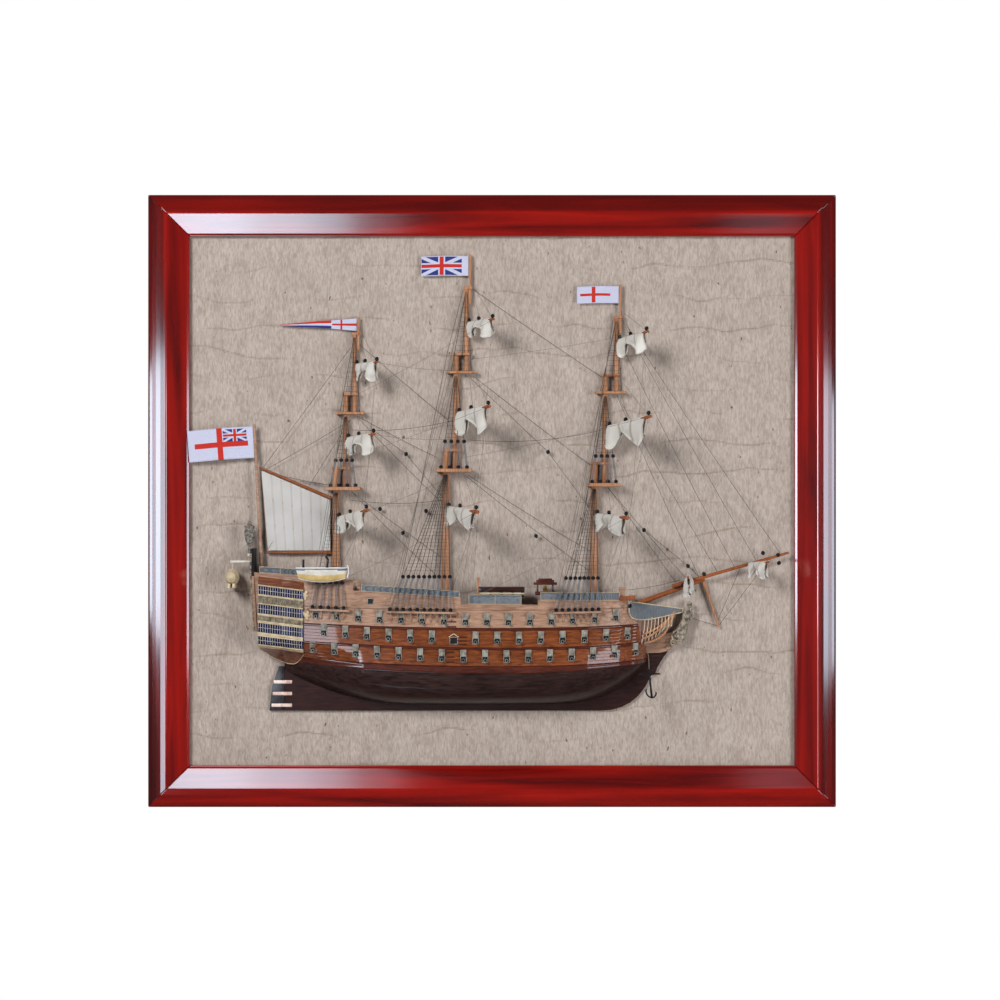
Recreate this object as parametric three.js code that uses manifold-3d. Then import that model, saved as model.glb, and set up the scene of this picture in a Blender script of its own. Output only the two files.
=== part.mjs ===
// Framed half hull model of a three-decked sailing warship, seen from its starboard side.
// Millimetres, +Z up, +X towards the bow. The wall is the plane y = 0 and the viewer stands at -Y.
import * as THREE from 'three';
import { mergeVertices } from 'three/addons/utils/BufferGeometryUtils.js';
import Module from 'manifold-3d';

const wasm = await Module();
wasm.setup();

// Fits shared by all pieces
const clearance = 0.3;
const sparSides = 8;

// Picture frame
const frameWidth = 1000;
const frameHeight = 890;
const railWidth = 59;
const railDepth = 45;
const outerBandWidth = 27.5;
const outerEdgeDepth = 34;
const lipWidth = 4;
const lipDepth = 22.5;
const rebateWidth = 24;
const boardThickness = 10;
const canvasThickness = 4;
const sideMargin = 0.5;
const topMargin = 26;

// Planes that the model is built on
const canvasFace = -(boardThickness + clearance + canvasThickness);
const hullBack = canvasFace - clearance;

// Hull lines: each runs along the ship at its own height amidships and rises to both ends
const midshipX = 10;
const sternPostX = -303;
const stemX = 226;
const transomTopX = -344;
const beakheadX = 206;
const keelBottomZ = -306;
const waterline = { middle: -247, aft: 14, fore: 13 };
const lowerWaleTop = { middle: -237, aft: 13, fore: 8 };
const middleMoulding = { middle: -212, aft: 11, fore: 6 };
const upperMoulding = { middle: -184, aft: 8, fore: 5 };
const plankSheer = { middle: -156.5, aft: 6, fore: 3 };
const mouldingHeight = 3.5;
const mouldingProud = 1.2;
const mouldingSlope = 0.2;
const lowerWaleProud = 1.4;

// Hull breadths
const halfBeam = 74;
const keelHalfSiding = 5;
const entranceLength = 150;
const runLength = 115;
const transomNarrowing = 24;
const tumblehome = 17;
const railTopZ = -103;
const rabbetLow = -296;
const rabbetAftRise = 49;
const rabbetAftLength = 183;
const rabbetForeRise = 59;
const rabbetForeLength = 206;

// Upper works, as stretches of the ship's length and the height of each rail
const poopFrontX = -200;
const quarterdeckFrontX = -45;
const forecastleAftX = 66;
const forecastleFrontX = 196;
const poopRail = { aft: -103, fore: -114 };
const quarterdeckRail = { aft: -129, fore: -139 };
const waistRail = { aft: -148, fore: -149 };
const forecastleRail = { aft: -142.5, fore: -143.5 };
const bulwarkThickness = 3.5;
const deckDrop = { poop: 11, quarterdeck: 12, waist: 5, forecastle: 8 };
const nettingHeight = 9;
const nettingDepth = 6;
const poopNetting = { from: -336, to: -276 };
const quarterdeckNetting = { from: -188, to: -47 };
const waistNetting = { from: -33, to: 42 };
const forecastleNetting = { from: 76, to: 184 };

// Quarter gallery and stern
const galleryFrontX = -272;
const galleryProud = 11;
const galleryInner = 3;
const galleryLines = [-109, -122, -133.5, -148, -161, -175, -188, -194, -205.5, -211];
const gallerySlope = 0.125;
const galleryDropDepth = 24;
const galleryDropShare = 0.72;
const sternBoardThickness = 6;
const taffrailTopZ = -69;
const taffrailHalfWidth = 34;
const lanternX = -352;
const lanternY = -38;
const lanternBottomZ = -64;
const lanternHeight = 38;
const lanternRadius = 6.5;
const davitZ = -88;
const davitTipX = -380;
const davitY = -41;
const davitThickness = 3;

// Boats
const quarterBoatLength = 74;
const quarterBoatBeam = 20;
const quarterBoatDepth = 20;
const quarterBoatX = -244;
const quarterBoatY = -82;
const quarterBoatTopZ = -96;
const sternBoatLength = 48;
const sternBoatBeam = 19;
const sternBoatDepth = 27;
const sternBoatX = -377;
const sternBoatTopZ = -99;
const boatEndThickness = 2;

// Masts: where each stands and how high each of its three sticks reaches
const mastY = -21.8;
const masts = {
  mizzen: {
    lowerX: -227.4, topmastX: -213.5, topgallantX: -200.5, poleX: -195,
    topZ: 18, lowerCapZ: 50, crosstreesZ: 128, topmastCapZ: 158, headZ: 246, poleTopZ: 268,
    lowerRadius: 6, topmastRadius: 4.2, topgallantRadius: 3.6, topWidth: 50, crosstreesWidth: 42,
  },
  main: {
    lowerX: -67.4, topmastX: -52.6, topgallantX: -37.3, poleX: -32,
    topZ: 44.5, lowerCapZ: 76, crosstreesZ: 187.5, topmastCapZ: 216, headZ: 313, poleTopZ: 360,
    lowerRadius: 6.6, topmastRadius: 5, topgallantRadius: 4.2, topWidth: 52, crosstreesWidth: 43,
  },
  fore: {
    lowerX: 149, topmastX: 165, topgallantX: 181.5, poleX: 187.2,
    topZ: 23.5, lowerCapZ: 57, crosstreesZ: 158, topmastCapZ: 185.5, headZ: 270, poleTopZ: 316,
    lowerRadius: 6.3, topmastRadius: 4.8, topgallantRadius: 4, topWidth: 48, crosstreesWidth: 45,
  },
};
const topThickness = 5;
const topReach = 30;
const crosstreesThickness = 3.5;
const crosstreesReach = 16;
const capThickness = 4;
const capWall = 1.6;
const mastTaper = 0.85;
const poleRadius = 2.2;
const poleLap = 26;

// Half yards: the height where each crosses its mast, and its tip
const yards = {
  mizzen: {
    lower: { rootZ: -27.5, tip: [-176, -113, -13], radius: 3.6 },
    topmast: { rootZ: 89, tip: [-167, -93, 96], radius: 3 },
    topgallant: { rootZ: 197, tip: [-164, -69, 200], radius: 2.4 },
  },
  main: {
    lower: { rootZ: -11.5, tip: [-19.5, -146, -15.5], radius: 4.2 },
    topmast: { rootZ: 125.5, tip: [-2.5, -121, 134.5], radius: 3.4 },
    topgallant: { rootZ: 258, tip: [3, -87, 260.5], radius: 2.6 },
  },
  fore: {
    lower: { rootZ: -22, tip: [192, -139, -24], radius: 4 },
    topmast: { rootZ: 105, tip: [226, -116, 120.5], radius: 3.4 },
    topgallant: { rootZ: 232, tip: [224, -83, 243.5], radius: 2.6 },
  },
};
const yardTipRatio = 0.62;

// Furled sails: how far each hangs below its yard
const sailDrop = {
  mizzen: { lower: 29, topmast: 31, topgallant: 30 },
  main: { lower: 30, topmast: 40, topgallant: 27 },
  fore: { lower: 29, topmast: 41, topgallant: 32 },
};
const sailWidth = 12;
const sailMastGap = 3;
const sailEnd = 0.86;
const sailSides = 8;
const sailSteps = 6;

// Fore and aft spars and the spanker
const gaffRoot = [-234.5, mastY, 4];
const gaffPeak = [-339, mastY, 49];
const gaffRadius = 2.6;
const boomRoot = [-234.5, mastY, -75];
const boomEnd = [-329, mastY, -75];
const boomRadius = 2.6;
const spankerThickness = 2;
const spankerLuffGap = 1.5;
const spankerLeechSlope = 0.13;
const staffY = mastY - 5;
const staffTop = [-346.5, staffY, 112];
const staffRake = 0.0738;
const staffRadius = 2;

// Bowsprit and its spars
const bowspritHeel = [214, -23, -149];
const bowspritHead = [310, -23, -113.5];
const bowspritRadius = 3.8;
const jibBoomHeel = [262, -30.4, -124];
const jibBoomTip = [432, -30.4, -75];
const jibBoomRadius = 2.8;
const strikerTop = [311, -21, -119.5];
const strikerFoot = [331, -21, -183];
const strikerRadius = 2;
const spritYard = { root: [287, -30.4, -108], tip: [281, -78, -110], radius: 2.6, drop: 33 };
const spritTopYard = { root: [371, -30.4, -92.5], tip: [399, -70, -88], radius: 2.4, drop: 27 };

// Flags
const flagThickness = 1;
const flagWave = 3;
const flagSteps = 12;
const ensignSize = { length: 94, height: 46, topZ: 109 };
const unionFlagSize = { length: 69, height: 29, topZ: 357.5 };
const crossFlagSize = { length: 61, height: 25, topZ: 313.5 };
const pennantSize = { length: 112, hoist: 18.5, tail: 1.6, topZ: 266.5, squareShare: 0.33, waist: 0.65 };

// Head, cathead and anchor
const kneeThickness = 6;
const headPanelThickness = 3;
const headPanelAft = [207.5, -50];
const headPanelFore = [272, -27];
const headRailRadius = 1.6;
const figureY = -29;
const figureParts = [
  { centre: [280, figureY, -180], radii: [8, 7.6, 25], tilt: 0.32 },
  { centre: [288.5, figureY, -153], radii: [6, 6, 7], tilt: 0 },
  { centre: [266, figureY, -205], radii: [11, 6, 9], tilt: 0.5 },
];
const catheadRoot = [184, -150];
const catheadSpread = [21, -24, 3];
const catheadRadius = 3.4;
const anchorY = -56;
const anchorRing = [227, anchorY, -244];
const anchorCrown = [233, anchorY, -284];
const anchorStockLength = 31;
const anchorArmReach = 12;
const anchorRadius = 1.8;
const cableRadius = 0.7;
const cableSteps = 24;

// Channels: shelves that spread the shrouds, as stretches along the hull side
const channelThickness = 3;
const channelReach = 11;
const channelBelowSheer = 4;
const channels = {
  mizzen: { from: -266, to: -203 },
  main: { from: -153, to: -50 },
  fore: { from: 85, to: 160 },
};

// The model's length and height follow the opening between the rails, less the margins
const lengthScale = (frameWidth / 2 - railWidth - sideMargin) / (ensignSize.length - staffTop[0]);
const heightScale = (frameHeight / 2 - railWidth - topMargin) / masts.main.poleTopZ;

// Finishes
const finish = (color, roughness, metalness = 0) =>
  new THREE.MeshStandardMaterial({ color, roughness, metalness });
const mahogany = finish(0x7a1408, 0.18);
const board = finish(0x8a6a48, 0.8);
const canvas = finish(0xb9aa9e, 0.9);
const bottomPaint = finish(0x2d1e1e, 0.3);
const keelWood = finish(0x3d2018, 0.4);
const waleWood = finish(0x4a201a, 0.3);
const planking = finish(0xa55537, 0.45);
const paleWood = finish(0xcd9678, 0.5);
const gallery = finish(0x6b4a36, 0.5);
const carving = finish(0x8a7a66, 0.5);
const sparWood = finish(0xb9734b, 0.45);
const cloth = finish(0xe1ded7, 0.9);
const flagCloth = finish(0xe8e4dc, 0.85);
const netting = finish(0x828c9b, 0.8);
const blackIron = finish(0x17171a, 0.45, 0.4);
const ropeFibre = finish(0x9c8f7d, 0.9);
const boatPaint = finish(0xd9d4c6, 0.4);

// Small number helpers
const mix = (from, to, share) => from + (to - from) * share;
const clamp = (value) => Math.min(1, Math.max(0, value));
const smooth = (value) => {
  const share = clamp(value);
  return share * share * (3 - 2 * share);
};

// Solids from geometries
const cornersOnly = (geometry) => {
  const bare = geometry.clone();
  bare.deleteAttribute('normal');
  bare.deleteAttribute('uv');
  return mergeVertices(bare, 1e-4);
};

const toManifold = (geometry) => {
  const merged = cornersOnly(geometry);
  const vertProperties = new Float32Array(merged.attributes.position.array);
  const triVerts = new Uint32Array(merged.index.array);
  return new wasm.Manifold(new wasm.Mesh({ numProp: 3, vertProperties, triVerts }));
};

const toGeometry = (manifold) => {
  const mesh = manifold.getMesh();
  const geometry = new THREE.BufferGeometry();
  geometry.setAttribute('position', new THREE.BufferAttribute(mesh.vertProperties, 3));
  geometry.setIndex(new THREE.BufferAttribute(mesh.triVerts, 1));
  return geometry;
};

const join = (...geometries) =>
  toGeometry(geometries.map(toManifold).reduce((whole, next) => whole.add(next)));

// Cuts a piece back from a neighbour and leaves the clearance in front of it
const cutClear = (piece, neighbour) => {
  const body = toManifold(neighbour);
  const moved = toManifold(neighbour.clone().translate(0, -clearance, 0));
  return toGeometry(toManifold(piece).subtract(body).subtract(moved));
};

// Bends a unit box onto a form: the callback gets shares along x, y and z and returns a point
const bentBox = (columns, layers, rows, pointAt) => {
  const geometry = new THREE.BoxGeometry(1, 1, 1, columns, layers, rows);
  const position = geometry.attributes.position;
  for (let i = 0; i < position.count; i += 1) {
    const point = pointAt(position.getX(i) + 0.5, position.getY(i) + 0.5, position.getZ(i) + 0.5);
    position.setXYZ(i, ...point);
  }
  return cornersOnly(geometry);
};

const box = (from, to) => {
  const size = to.map((value, axis) => value - from[axis]);
  const centre = to.map((value, axis) => (value + from[axis]) / 2);
  return new THREE.BoxGeometry(...size).translate(...centre);
};

// A round stick from one point to another
const spar = (from, to, startRadius, endRadius, sides = sparSides) => {
  const start = new THREE.Vector3(...from);
  const end = new THREE.Vector3(...to);
  const along = end.clone().sub(start);
  const geometry = new THREE.CylinderGeometry(endRadius, startRadius, along.length(), sides);
  const turn = new THREE.Quaternion().setFromUnitVectors(new THREE.Vector3(0, 1, 0), along.normalize());
  geometry.applyQuaternion(turn);
  return geometry.translate(...start.add(end).multiplyScalar(0.5).toArray());
};

// A flat outline in x and z, given its thickness towards the viewer from a back plane
const slab = (outline, back, thickness) => {
  const shape = new THREE.Shape(outline.map(([x, z]) => new THREE.Vector2(x, z)));
  const settings = { depth: thickness, bevelEnabled: false, curveSegments: 6 };
  return new THREE.ExtrudeGeometry(shape, settings).rotateX(Math.PI / 2).translate(0, back, 0);
};

// A round bar along a smooth path through a few points
const bar = (points, radius, steps, sides = 5) => {
  const path = new THREE.CatmullRomCurve3(points.map((point) => new THREE.Vector3(...point)));
  const section = new THREE.Shape();
  for (let i = 0; i < sides; i += 1) {
    const angle = (i / sides) * Math.PI * 2;
    const corner = [radius * Math.cos(angle), radius * Math.sin(angle)];
    if (i === 0) section.moveTo(...corner);
    else section.lineTo(...corner);
  }
  return new THREE.ExtrudeGeometry(section, { steps, bevelEnabled: false, extrudePath: path });
};

// The exported scene
const group = new THREE.Group();
const addPiece = (name, geometry, material) => {
  const mesh = new THREE.Mesh(geometry, material.clone());
  mesh.name = name;
  group.add(mesh);
  return mesh;
};

// Picture frame: one profile, mitred at both ends and turned to each side
const railProfile = () => {
  const shape = new THREE.Shape();
  shape.moveTo(0, 0);
  shape.lineTo(railWidth - rebateWidth, 0);
  shape.lineTo(railWidth - rebateWidth, hullBack);
  shape.lineTo(railWidth, hullBack);
  shape.lineTo(railWidth, -lipDepth);
  shape.lineTo(railWidth - lipWidth, -lipDepth - 2);
  shape.lineTo(outerBandWidth, -railDepth);
  shape.quadraticCurveTo(outerBandWidth * 0.2, -railDepth * 0.99, 0, -outerEdgeDepth);
  return shape;
};

const mitredRail = (length, reach) => {
  const settings = { depth: length, bevelEnabled: false, curveSegments: 5 };
  const geometry = new THREE.ExtrudeGeometry(railProfile(), settings).rotateY(-Math.PI / 2);
  const position = geometry.attributes.position;
  for (let i = 0; i < position.count; i += 1) {
    const inward = position.getZ(i);
    const side = position.getX(i) > -length / 2 ? 1 : -1;
    position.setX(i, side * (length / 2 - inward - clearance / 2));
    position.setZ(i, inward - reach);
  }
  return cornersOnly(geometry);
};

const longRail = mitredRail(frameWidth, frameHeight / 2);
const shortRail = mitredRail(frameHeight, frameWidth / 2);
addPiece('frame_bottom_rail', longRail, mahogany);
addPiece('frame_top_rail', longRail.clone().rotateY(Math.PI), mahogany);
addPiece('frame_left_rail', shortRail.clone().rotateY(Math.PI / 2), mahogany);
addPiece('frame_right_rail', shortRail.clone().rotateY(-Math.PI / 2), mahogany);

const boardInset = 2 * (railWidth - rebateWidth + clearance);
const boardWidth = frameWidth - boardInset;
const boardHeight = frameHeight - boardInset;
addPiece(
  'back_board',
  box([-boardWidth / 2, -boardThickness, -boardHeight / 2], [boardWidth / 2, 0, boardHeight / 2]),
  board,
);
addPiece(
  'canvas_panel',
  box(
    [-boardWidth / 2, canvasFace, -boardHeight / 2],
    [boardWidth / 2, canvasFace + canvasThickness, boardHeight / 2],
  ),
  canvas,
);

// Ship pieces follow the opening of the frame
const addModelPiece = (name, geometry, material) =>
  addPiece(name, geometry.clone().scale(lengthScale, 1, heightScale), material);

// Hull surface
const lineHeight = (line, x) => {
  const aftShare = clamp((midshipX - x) / (midshipX - sternPostX));
  const foreShare = clamp((x - midshipX) / (stemX - midshipX));
  return line.middle + line.aft * aftShare ** 2 + line.fore * foreShare ** 2;
};

const rabbetHeight = (x) => {
  const aftShare = clamp((sternPostX + rabbetAftLength - x) / rabbetAftLength);
  const foreShare = clamp((x - stemX + rabbetForeLength) / rabbetForeLength);
  return rabbetLow + rabbetAftRise * aftShare ** 2 + rabbetForeRise * foreShare ** 4.5;
};

const counterTopZ = upperMoulding.middle - 4;
const aftEnd = (z) => {
  const counterFootZ = waterline.middle + waterline.aft;
  const counter = smooth((z - counterFootZ) / (counterTopZ - counterFootZ));
  const rake = clamp((z - counterTopZ) / (railTopZ - counterTopZ));
  return mix(mix(sternPostX, transomTopX + 6, counter), transomTopX, rake);
};

const foreEnd = (z) => {
  const rise = (z - lowerWaleTop.middle) / (plankSheer.middle - lowerWaleTop.middle);
  return mix(stemX, beakheadX, smooth(rise));
};

const levelBreadth = (x) => {
  const entrance = clamp((stemX + 1 - x) / entranceLength);
  const sternwards = clamp((sternPostX + 2 * entranceLength - x) / (2 * entranceLength));
  const full = halfBeam * Math.sqrt(Math.max(0, 1 - (1 - entrance) ** 2.2));
  return Math.max(keelHalfSiding, full - transomNarrowing * sternwards ** 2);
};

const topsideBreadth = (x, z) => {
  const lower = lineHeight(waterline, x);
  const lean = clamp((z - lower) / (railTopZ - lower));
  const run = clamp((x - sternPostX) / runLength) ** 0.6;
  const narrow = mix(keelHalfSiding, levelBreadth(x), run);
  const full = levelBreadth(x) - tumblehome * lean ** 1.3 * (levelBreadth(x) / halfBeam);
  return mix(narrow, full, smooth((z - lower) / 34));
};

const bottomBreadth = (x, share) => {
  const middle = 1 - Math.abs((2 * (x - sternPostX)) / (stemX - sternPostX) - 1) ** 2;
  const hollow = mix(1.5, 2.6, middle);
  const power = mix(1.25, 0.5, Math.sqrt(clamp(middle)));
  const widest = topsideBreadth(x, lineHeight(waterline, x));
  return mix(keelHalfSiding, widest, (1 - (1 - share) ** hollow) ** power);
};

// A length of hull side between two lines, from the back plane out to the planking
const sideBand = (columns, rows, lineAt, breadthAt, ends = {}) =>
  bentBox(columns, 1, rows, (along, inward, up) => {
    const level = lineAt(midshipX, up);
    const from = ends.aft ?? aftEnd(level);
    const to = ends.fore ?? foreEnd(level);
    const x = mix(from, to, along);
    const outer = hullBack - breadthAt(x, lineAt(x, up), up);
    return [x, inward < 0.5 ? outer : hullBack, lineAt(x, up)];
  });

const hullColumns = 25;
const hullBottom = sideBand(
  hullColumns, 5,
  (x, up) => mix(rabbetHeight(x), lineHeight(waterline, x) - clearance / 2, up),
  (x, z, up) => bottomBreadth(x, up),
  { aft: sternPostX, fore: stemX },
);
addModelPiece('hull_bottom', hullBottom, bottomPaint);

const lowerWale = sideBand(
  hullColumns, 1,
  (x, up) => mix(
    lineHeight(waterline, x) + clearance / 2,
    lineHeight(lowerWaleTop, x) - clearance / 2,
    up,
  ),
  (x, z) => topsideBreadth(x, z) + lowerWaleProud,
);
addModelPiece('lower_wale', lowerWale, waleWood);

// The topside planking steps out at its two mouldings
const mouldingSteps = (line) => [
  { line, offset: -mouldingHeight / 2, proud: 0 },
  { line, offset: mouldingSlope - mouldingHeight / 2, proud: mouldingProud },
  { line, offset: mouldingHeight / 2 - mouldingSlope, proud: mouldingProud },
  { line, offset: mouldingHeight / 2, proud: 0 },
];
const topsideSteps = [
  { line: lowerWaleTop, offset: clearance / 2, proud: 0 },
  ...mouldingSteps(middleMoulding),
  ...mouldingSteps(upperMoulding),
  { line: plankSheer, offset: -clearance / 2, proud: 0 },
];
const topsideStep = (up) => topsideSteps[Math.round(up * (topsideSteps.length - 1))];
const topsides = sideBand(
  hullColumns, topsideSteps.length - 1,
  (x, up) => lineHeight(topsideStep(up).line, x) + topsideStep(up).offset,
  (x, z, up) => topsideBreadth(x, z) + topsideStep(up).proud,
);
addModelPiece('hull_topsides', topsides, planking);

// Keel, stem and sternpost in one curved timber below the rabbet
const keelOutline = () => {
  const outline = [];
  for (let i = 0; i <= hullColumns; i += 1) {
    const x = mix(sternPostX, stemX, i / hullColumns);
    outline.push([x, rabbetHeight(x) - clearance]);
  }
  outline.push([stemX + clearance, rabbetHeight(stemX)]);
  outline.push([stemX + clearance, middleMoulding.middle + 14]);
  outline.push([stemX + 8, middleMoulding.middle + 14]);
  const gripe = new THREE.QuadraticBezierCurve(
    new THREE.Vector2(stemX + 12, -238),
    new THREE.Vector2(stemX - 8, keelBottomZ - 1),
    new THREE.Vector2(158, keelBottomZ),
  );
  gripe.getPoints(7).forEach((point) => outline.push([point.x, point.y]));
  outline.push([sternPostX, keelBottomZ]);
  return outline;
};
addModelPiece('keel_and_stem', slab(keelOutline(), hullBack, keelHalfSiding), keelWood);

// Rudder, hung behind the sternpost
const rudderHeadZ = -241;
const rudderOutline = [
  [sternPostX - clearance, rudderHeadZ],
  [sternPostX - 8, rudderHeadZ],
  [sternPostX - 14, -262],
  [sternPostX - 21.5, -304],
  [sternPostX - clearance, -304],
];
const strapHeights = [-264, -281, -298];
const strap = (z) => box(
  [sternPostX - 13, hullBack - keelHalfSiding - 0.9, z - 1.6],
  [sternPostX - 1.5, hullBack - keelHalfSiding + 1, z + 1.6],
);
addModelPiece(
  'rudder',
  join(slab(rudderOutline, hullBack, keelHalfSiding), ...strapHeights.map(strap)),
  blackIron,
);

// Bulwarks stand on the topsides around a lower deck, with hammock netting in a trough on top
const railHeight = (stretch, x) =>
  mix(stretch.rail.aft, stretch.rail.fore, clamp((x - stretch.aft) / (stretch.fore - stretch.aft)));

const bulwark = (stretch, columns) => {
  const ends = { aft: stretch.closedAft ? undefined : stretch.aft, fore: stretch.fore - clearance };
  const foot = (x) => lineHeight(plankSheer, x) + clearance / 2;
  const block = sideBand(
    columns, 1,
    (x, up) => mix(foot(x), railHeight(stretch, x), up),
    (x, z) => topsideBreadth(x, z),
    ends,
  );
  const well = sideBand(
    columns, 1,
    (x, up) => railHeight(stretch, x) + mix(-stretch.drop, 1, up),
    (x, z) => topsideBreadth(x, z) - bulwarkThickness,
    { aft: stretch.aft - nettingDepth, fore: stretch.fore + nettingDepth },
  );
  const opened = toManifold(block).subtract(toManifold(well.translate(0, 1, 0)));
  return toGeometry(opened);
};

const nettingTrough = (stretch, net) =>
  bentBox(8, 1, 1, (along, inward, up) => {
    const x = mix(net.from, net.to, along);
    const base = railHeight(stretch, x);
    const outer = hullBack - topsideBreadth(x, base) + 1;
    return [x, inward < 0.5 ? outer : outer + nettingDepth, base - 1 + up * (nettingHeight + 1)];
  });

const stretches = {
  poop: { aft: transomTopX, fore: poopFrontX, rail: poopRail, drop: deckDrop.poop, closedAft: true },
  quarterdeck: {
    aft: poopFrontX, fore: quarterdeckFrontX, rail: quarterdeckRail, drop: deckDrop.quarterdeck,
  },
  waist: { aft: quarterdeckFrontX, fore: forecastleAftX, rail: waistRail, drop: deckDrop.waist },
  forecastle: {
    aft: forecastleAftX, fore: forecastleFrontX, rail: forecastleRail, drop: deckDrop.forecastle,
  },
};
const deckHeight = (stretch, x) => railHeight(stretch, x) - stretch.drop;
const standingHeight = (stretch, x, radius) =>
  Math.max(deckHeight(stretch, x - radius), deckHeight(stretch, x + radius)) + clearance;

const poop = bulwark(stretches.poop, 8);
const forecastle = join(
  bulwark(stretches.forecastle, 8),
  nettingTrough(stretches.forecastle, forecastleNetting),
);
addModelPiece('poop_bulwark', join(poop, nettingTrough(stretches.poop, poopNetting)), planking);
addModelPiece(
  'quarterdeck_bulwark',
  join(
    bulwark(stretches.quarterdeck, 8),
    nettingTrough(stretches.quarterdeck, quarterdeckNetting),
  ),
  paleWood,
);
addModelPiece(
  'waist_rail',
  join(
    bulwark(stretches.waist, 6),
    nettingTrough(stretches.waist, waistNetting),
  ),
  netting,
);
addModelPiece('forecastle_bulwark', forecastle, planking);

// Quarter gallery: a bay of window rows with a roof above and a carved drop below
const galleryBottom = (along) => {
  const span = along < galleryDropShare ? galleryDropShare : 0.34;
  const belly = 1 - (Math.abs(along - galleryDropShare) / span) ** 2;
  return galleryLines.at(-1) - 2 - galleryDropDepth * belly;
};
const galleryBlank = bentBox(5, 1, galleryLines.length, (along, inward, up) => {
  const from = transomTopX + sternBoardThickness + 1;
  const x = mix(from, galleryFrontX, along);
  const level = galleryLines.length - Math.round(up * galleryLines.length);
  const isDrop = level === galleryLines.length;
  const z = isDrop ? galleryBottom(along) : galleryLines[level] - gallerySlope * (x - from);
  const swell = Math.sqrt(clamp(1 - (along * 0.97) ** 4));
  const proud = isDrop ? 1 : galleryProud * swell * (level === 0 ? 0.5 : 1);
  const face = hullBack - topsideBreadth(x, z);
  return [x, inward < 0.5 ? face - proud : face + galleryInner, z];
});
addModelPiece(
  'quarter_gallery',
  [topsides, poop, lowerWale, hullBottom].reduce(cutClear, galleryBlank),
  gallery,
);

// Stern board across the transom, with the lantern on a bracket and the boat davit
const sternBoard = bentBox(1, 4, 8, (along, inward, up) => {
  const z = mix(counterTopZ, taffrailTopZ, up);
  const side = topsideBreadth(transomTopX + sternBoardThickness, Math.min(z, railTopZ)) + 2;
  const shoulder = smooth((z - railTopZ) / (taffrailTopZ - railTopZ));
  const halfWidth = mix(side, taffrailHalfWidth, shoulder);
  const front = aftEnd(z) - clearance;
  return [front - sternBoardThickness * (1 - along), hullBack - halfWidth * (1 - inward), z];
});
const lanternProfile = [
  [0, 0], [0.55, 0.02], [0.5, 0.12], [0.75, 0.2], [1, 0.5], [0.9, 0.68], [0.5, 0.78], [0.3, 0.92], [0, 1],
].map(([radius, height]) => new THREE.Vector2(radius * lanternRadius, height * lanternHeight));
const lantern = new THREE.LatheGeometry(lanternProfile, 8)
  .rotateX(Math.PI / 2)
  .translate(lanternX, lanternY, lanternBottomZ);
const bracket = box(
  [lanternX - 3, lanternY - 2.5, taffrailTopZ - 10],
  [lanternX + 4, lanternY + 2.5, lanternBottomZ + 2],
);
const davit = box(
  [davitTipX, davitY - davitThickness / 2, davitZ - davitThickness / 2],
  [transomTopX - 1, davitY + davitThickness / 2, davitZ + davitThickness / 2],
);
addModelPiece('stern_board', join(sternBoard, bracket, lantern, davit), carving);

// Boats: full amidships, sharp forward, with a square stern
const boat = (length, beam, depth) =>
  bentBox(8, 2, 3, (along, across, up) => {
    const fromMiddle = Math.abs(2 * along - 1);
    const plan = along < 0.5 ? 1 - 0.45 * fromMiddle ** 2 : Math.sqrt(1 - 0.99 * fromMiddle ** 2.4);
    const section = Math.sqrt(mix(0.08, 1, up));
    const width = Math.max(boatEndThickness, beam * plan * section);
    const rise = 0.25 * depth * fromMiddle ** 2 * (1 - up);
    const x = (along - 0.5) * length * mix(0.9, 1, up);
    return [x, (across - 0.5) * width, (up - 1) * depth + rise];
  });
addModelPiece(
  'quarter_boat',
  boat(quarterBoatLength, quarterBoatBeam, quarterBoatDepth)
    .translate(quarterBoatX, quarterBoatY, quarterBoatTopZ),
  boatPaint,
);
addModelPiece(
  'stern_boat',
  boat(sternBoatLength, sternBoatBeam, sternBoatDepth)
    .rotateZ(-Math.PI / 2)
    .translate(sternBoatX, davitY, sternBoatTopZ),
  boatPaint,
);

// Masts: each stick, its platform and cap, and the half yard lashed across it
const mastDecks = { mizzen: stretches.poop, main: stretches.quarterdeck, fore: stretches.forecastle };
const platform = (centreX, z, width, reach, thickness) =>
  box(
    [centreX - width / 2, hullBack - reach, z - thickness / 2],
    [centreX + width / 2, hullBack, z + thickness / 2],
  );
const cap = (fromX, toX, z, radius) =>
  box(
    [fromX - radius - capWall, mastY - radius - capWall, z - capThickness],
    [toX + radius + capWall, mastY + radius + capWall, z],
  );
const stick = (x, fromZ, toZ, radius) =>
  spar([x, mastY, fromZ], [x, mastY, toZ], radius, radius * mastTaper);
const yardOn = (x, yard) =>
  spar([x, mastY, yard.rootZ], yard.tip, yard.radius, yard.radius * yardTipRatio);

// Opens the cap of one stick for the stick that passes up through it
const openCap = (piece, x, radius, capZ) => {
  const holeRadius = radius + clearance * 1.5;
  const below = [x, mastY, capZ - 2 * capThickness];
  const above = [x, mastY, capZ + capThickness];
  const hole = spar(below, above, holeRadius, holeRadius);
  return toGeometry(toManifold(piece).subtract(toManifold(hole)));
};

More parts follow.
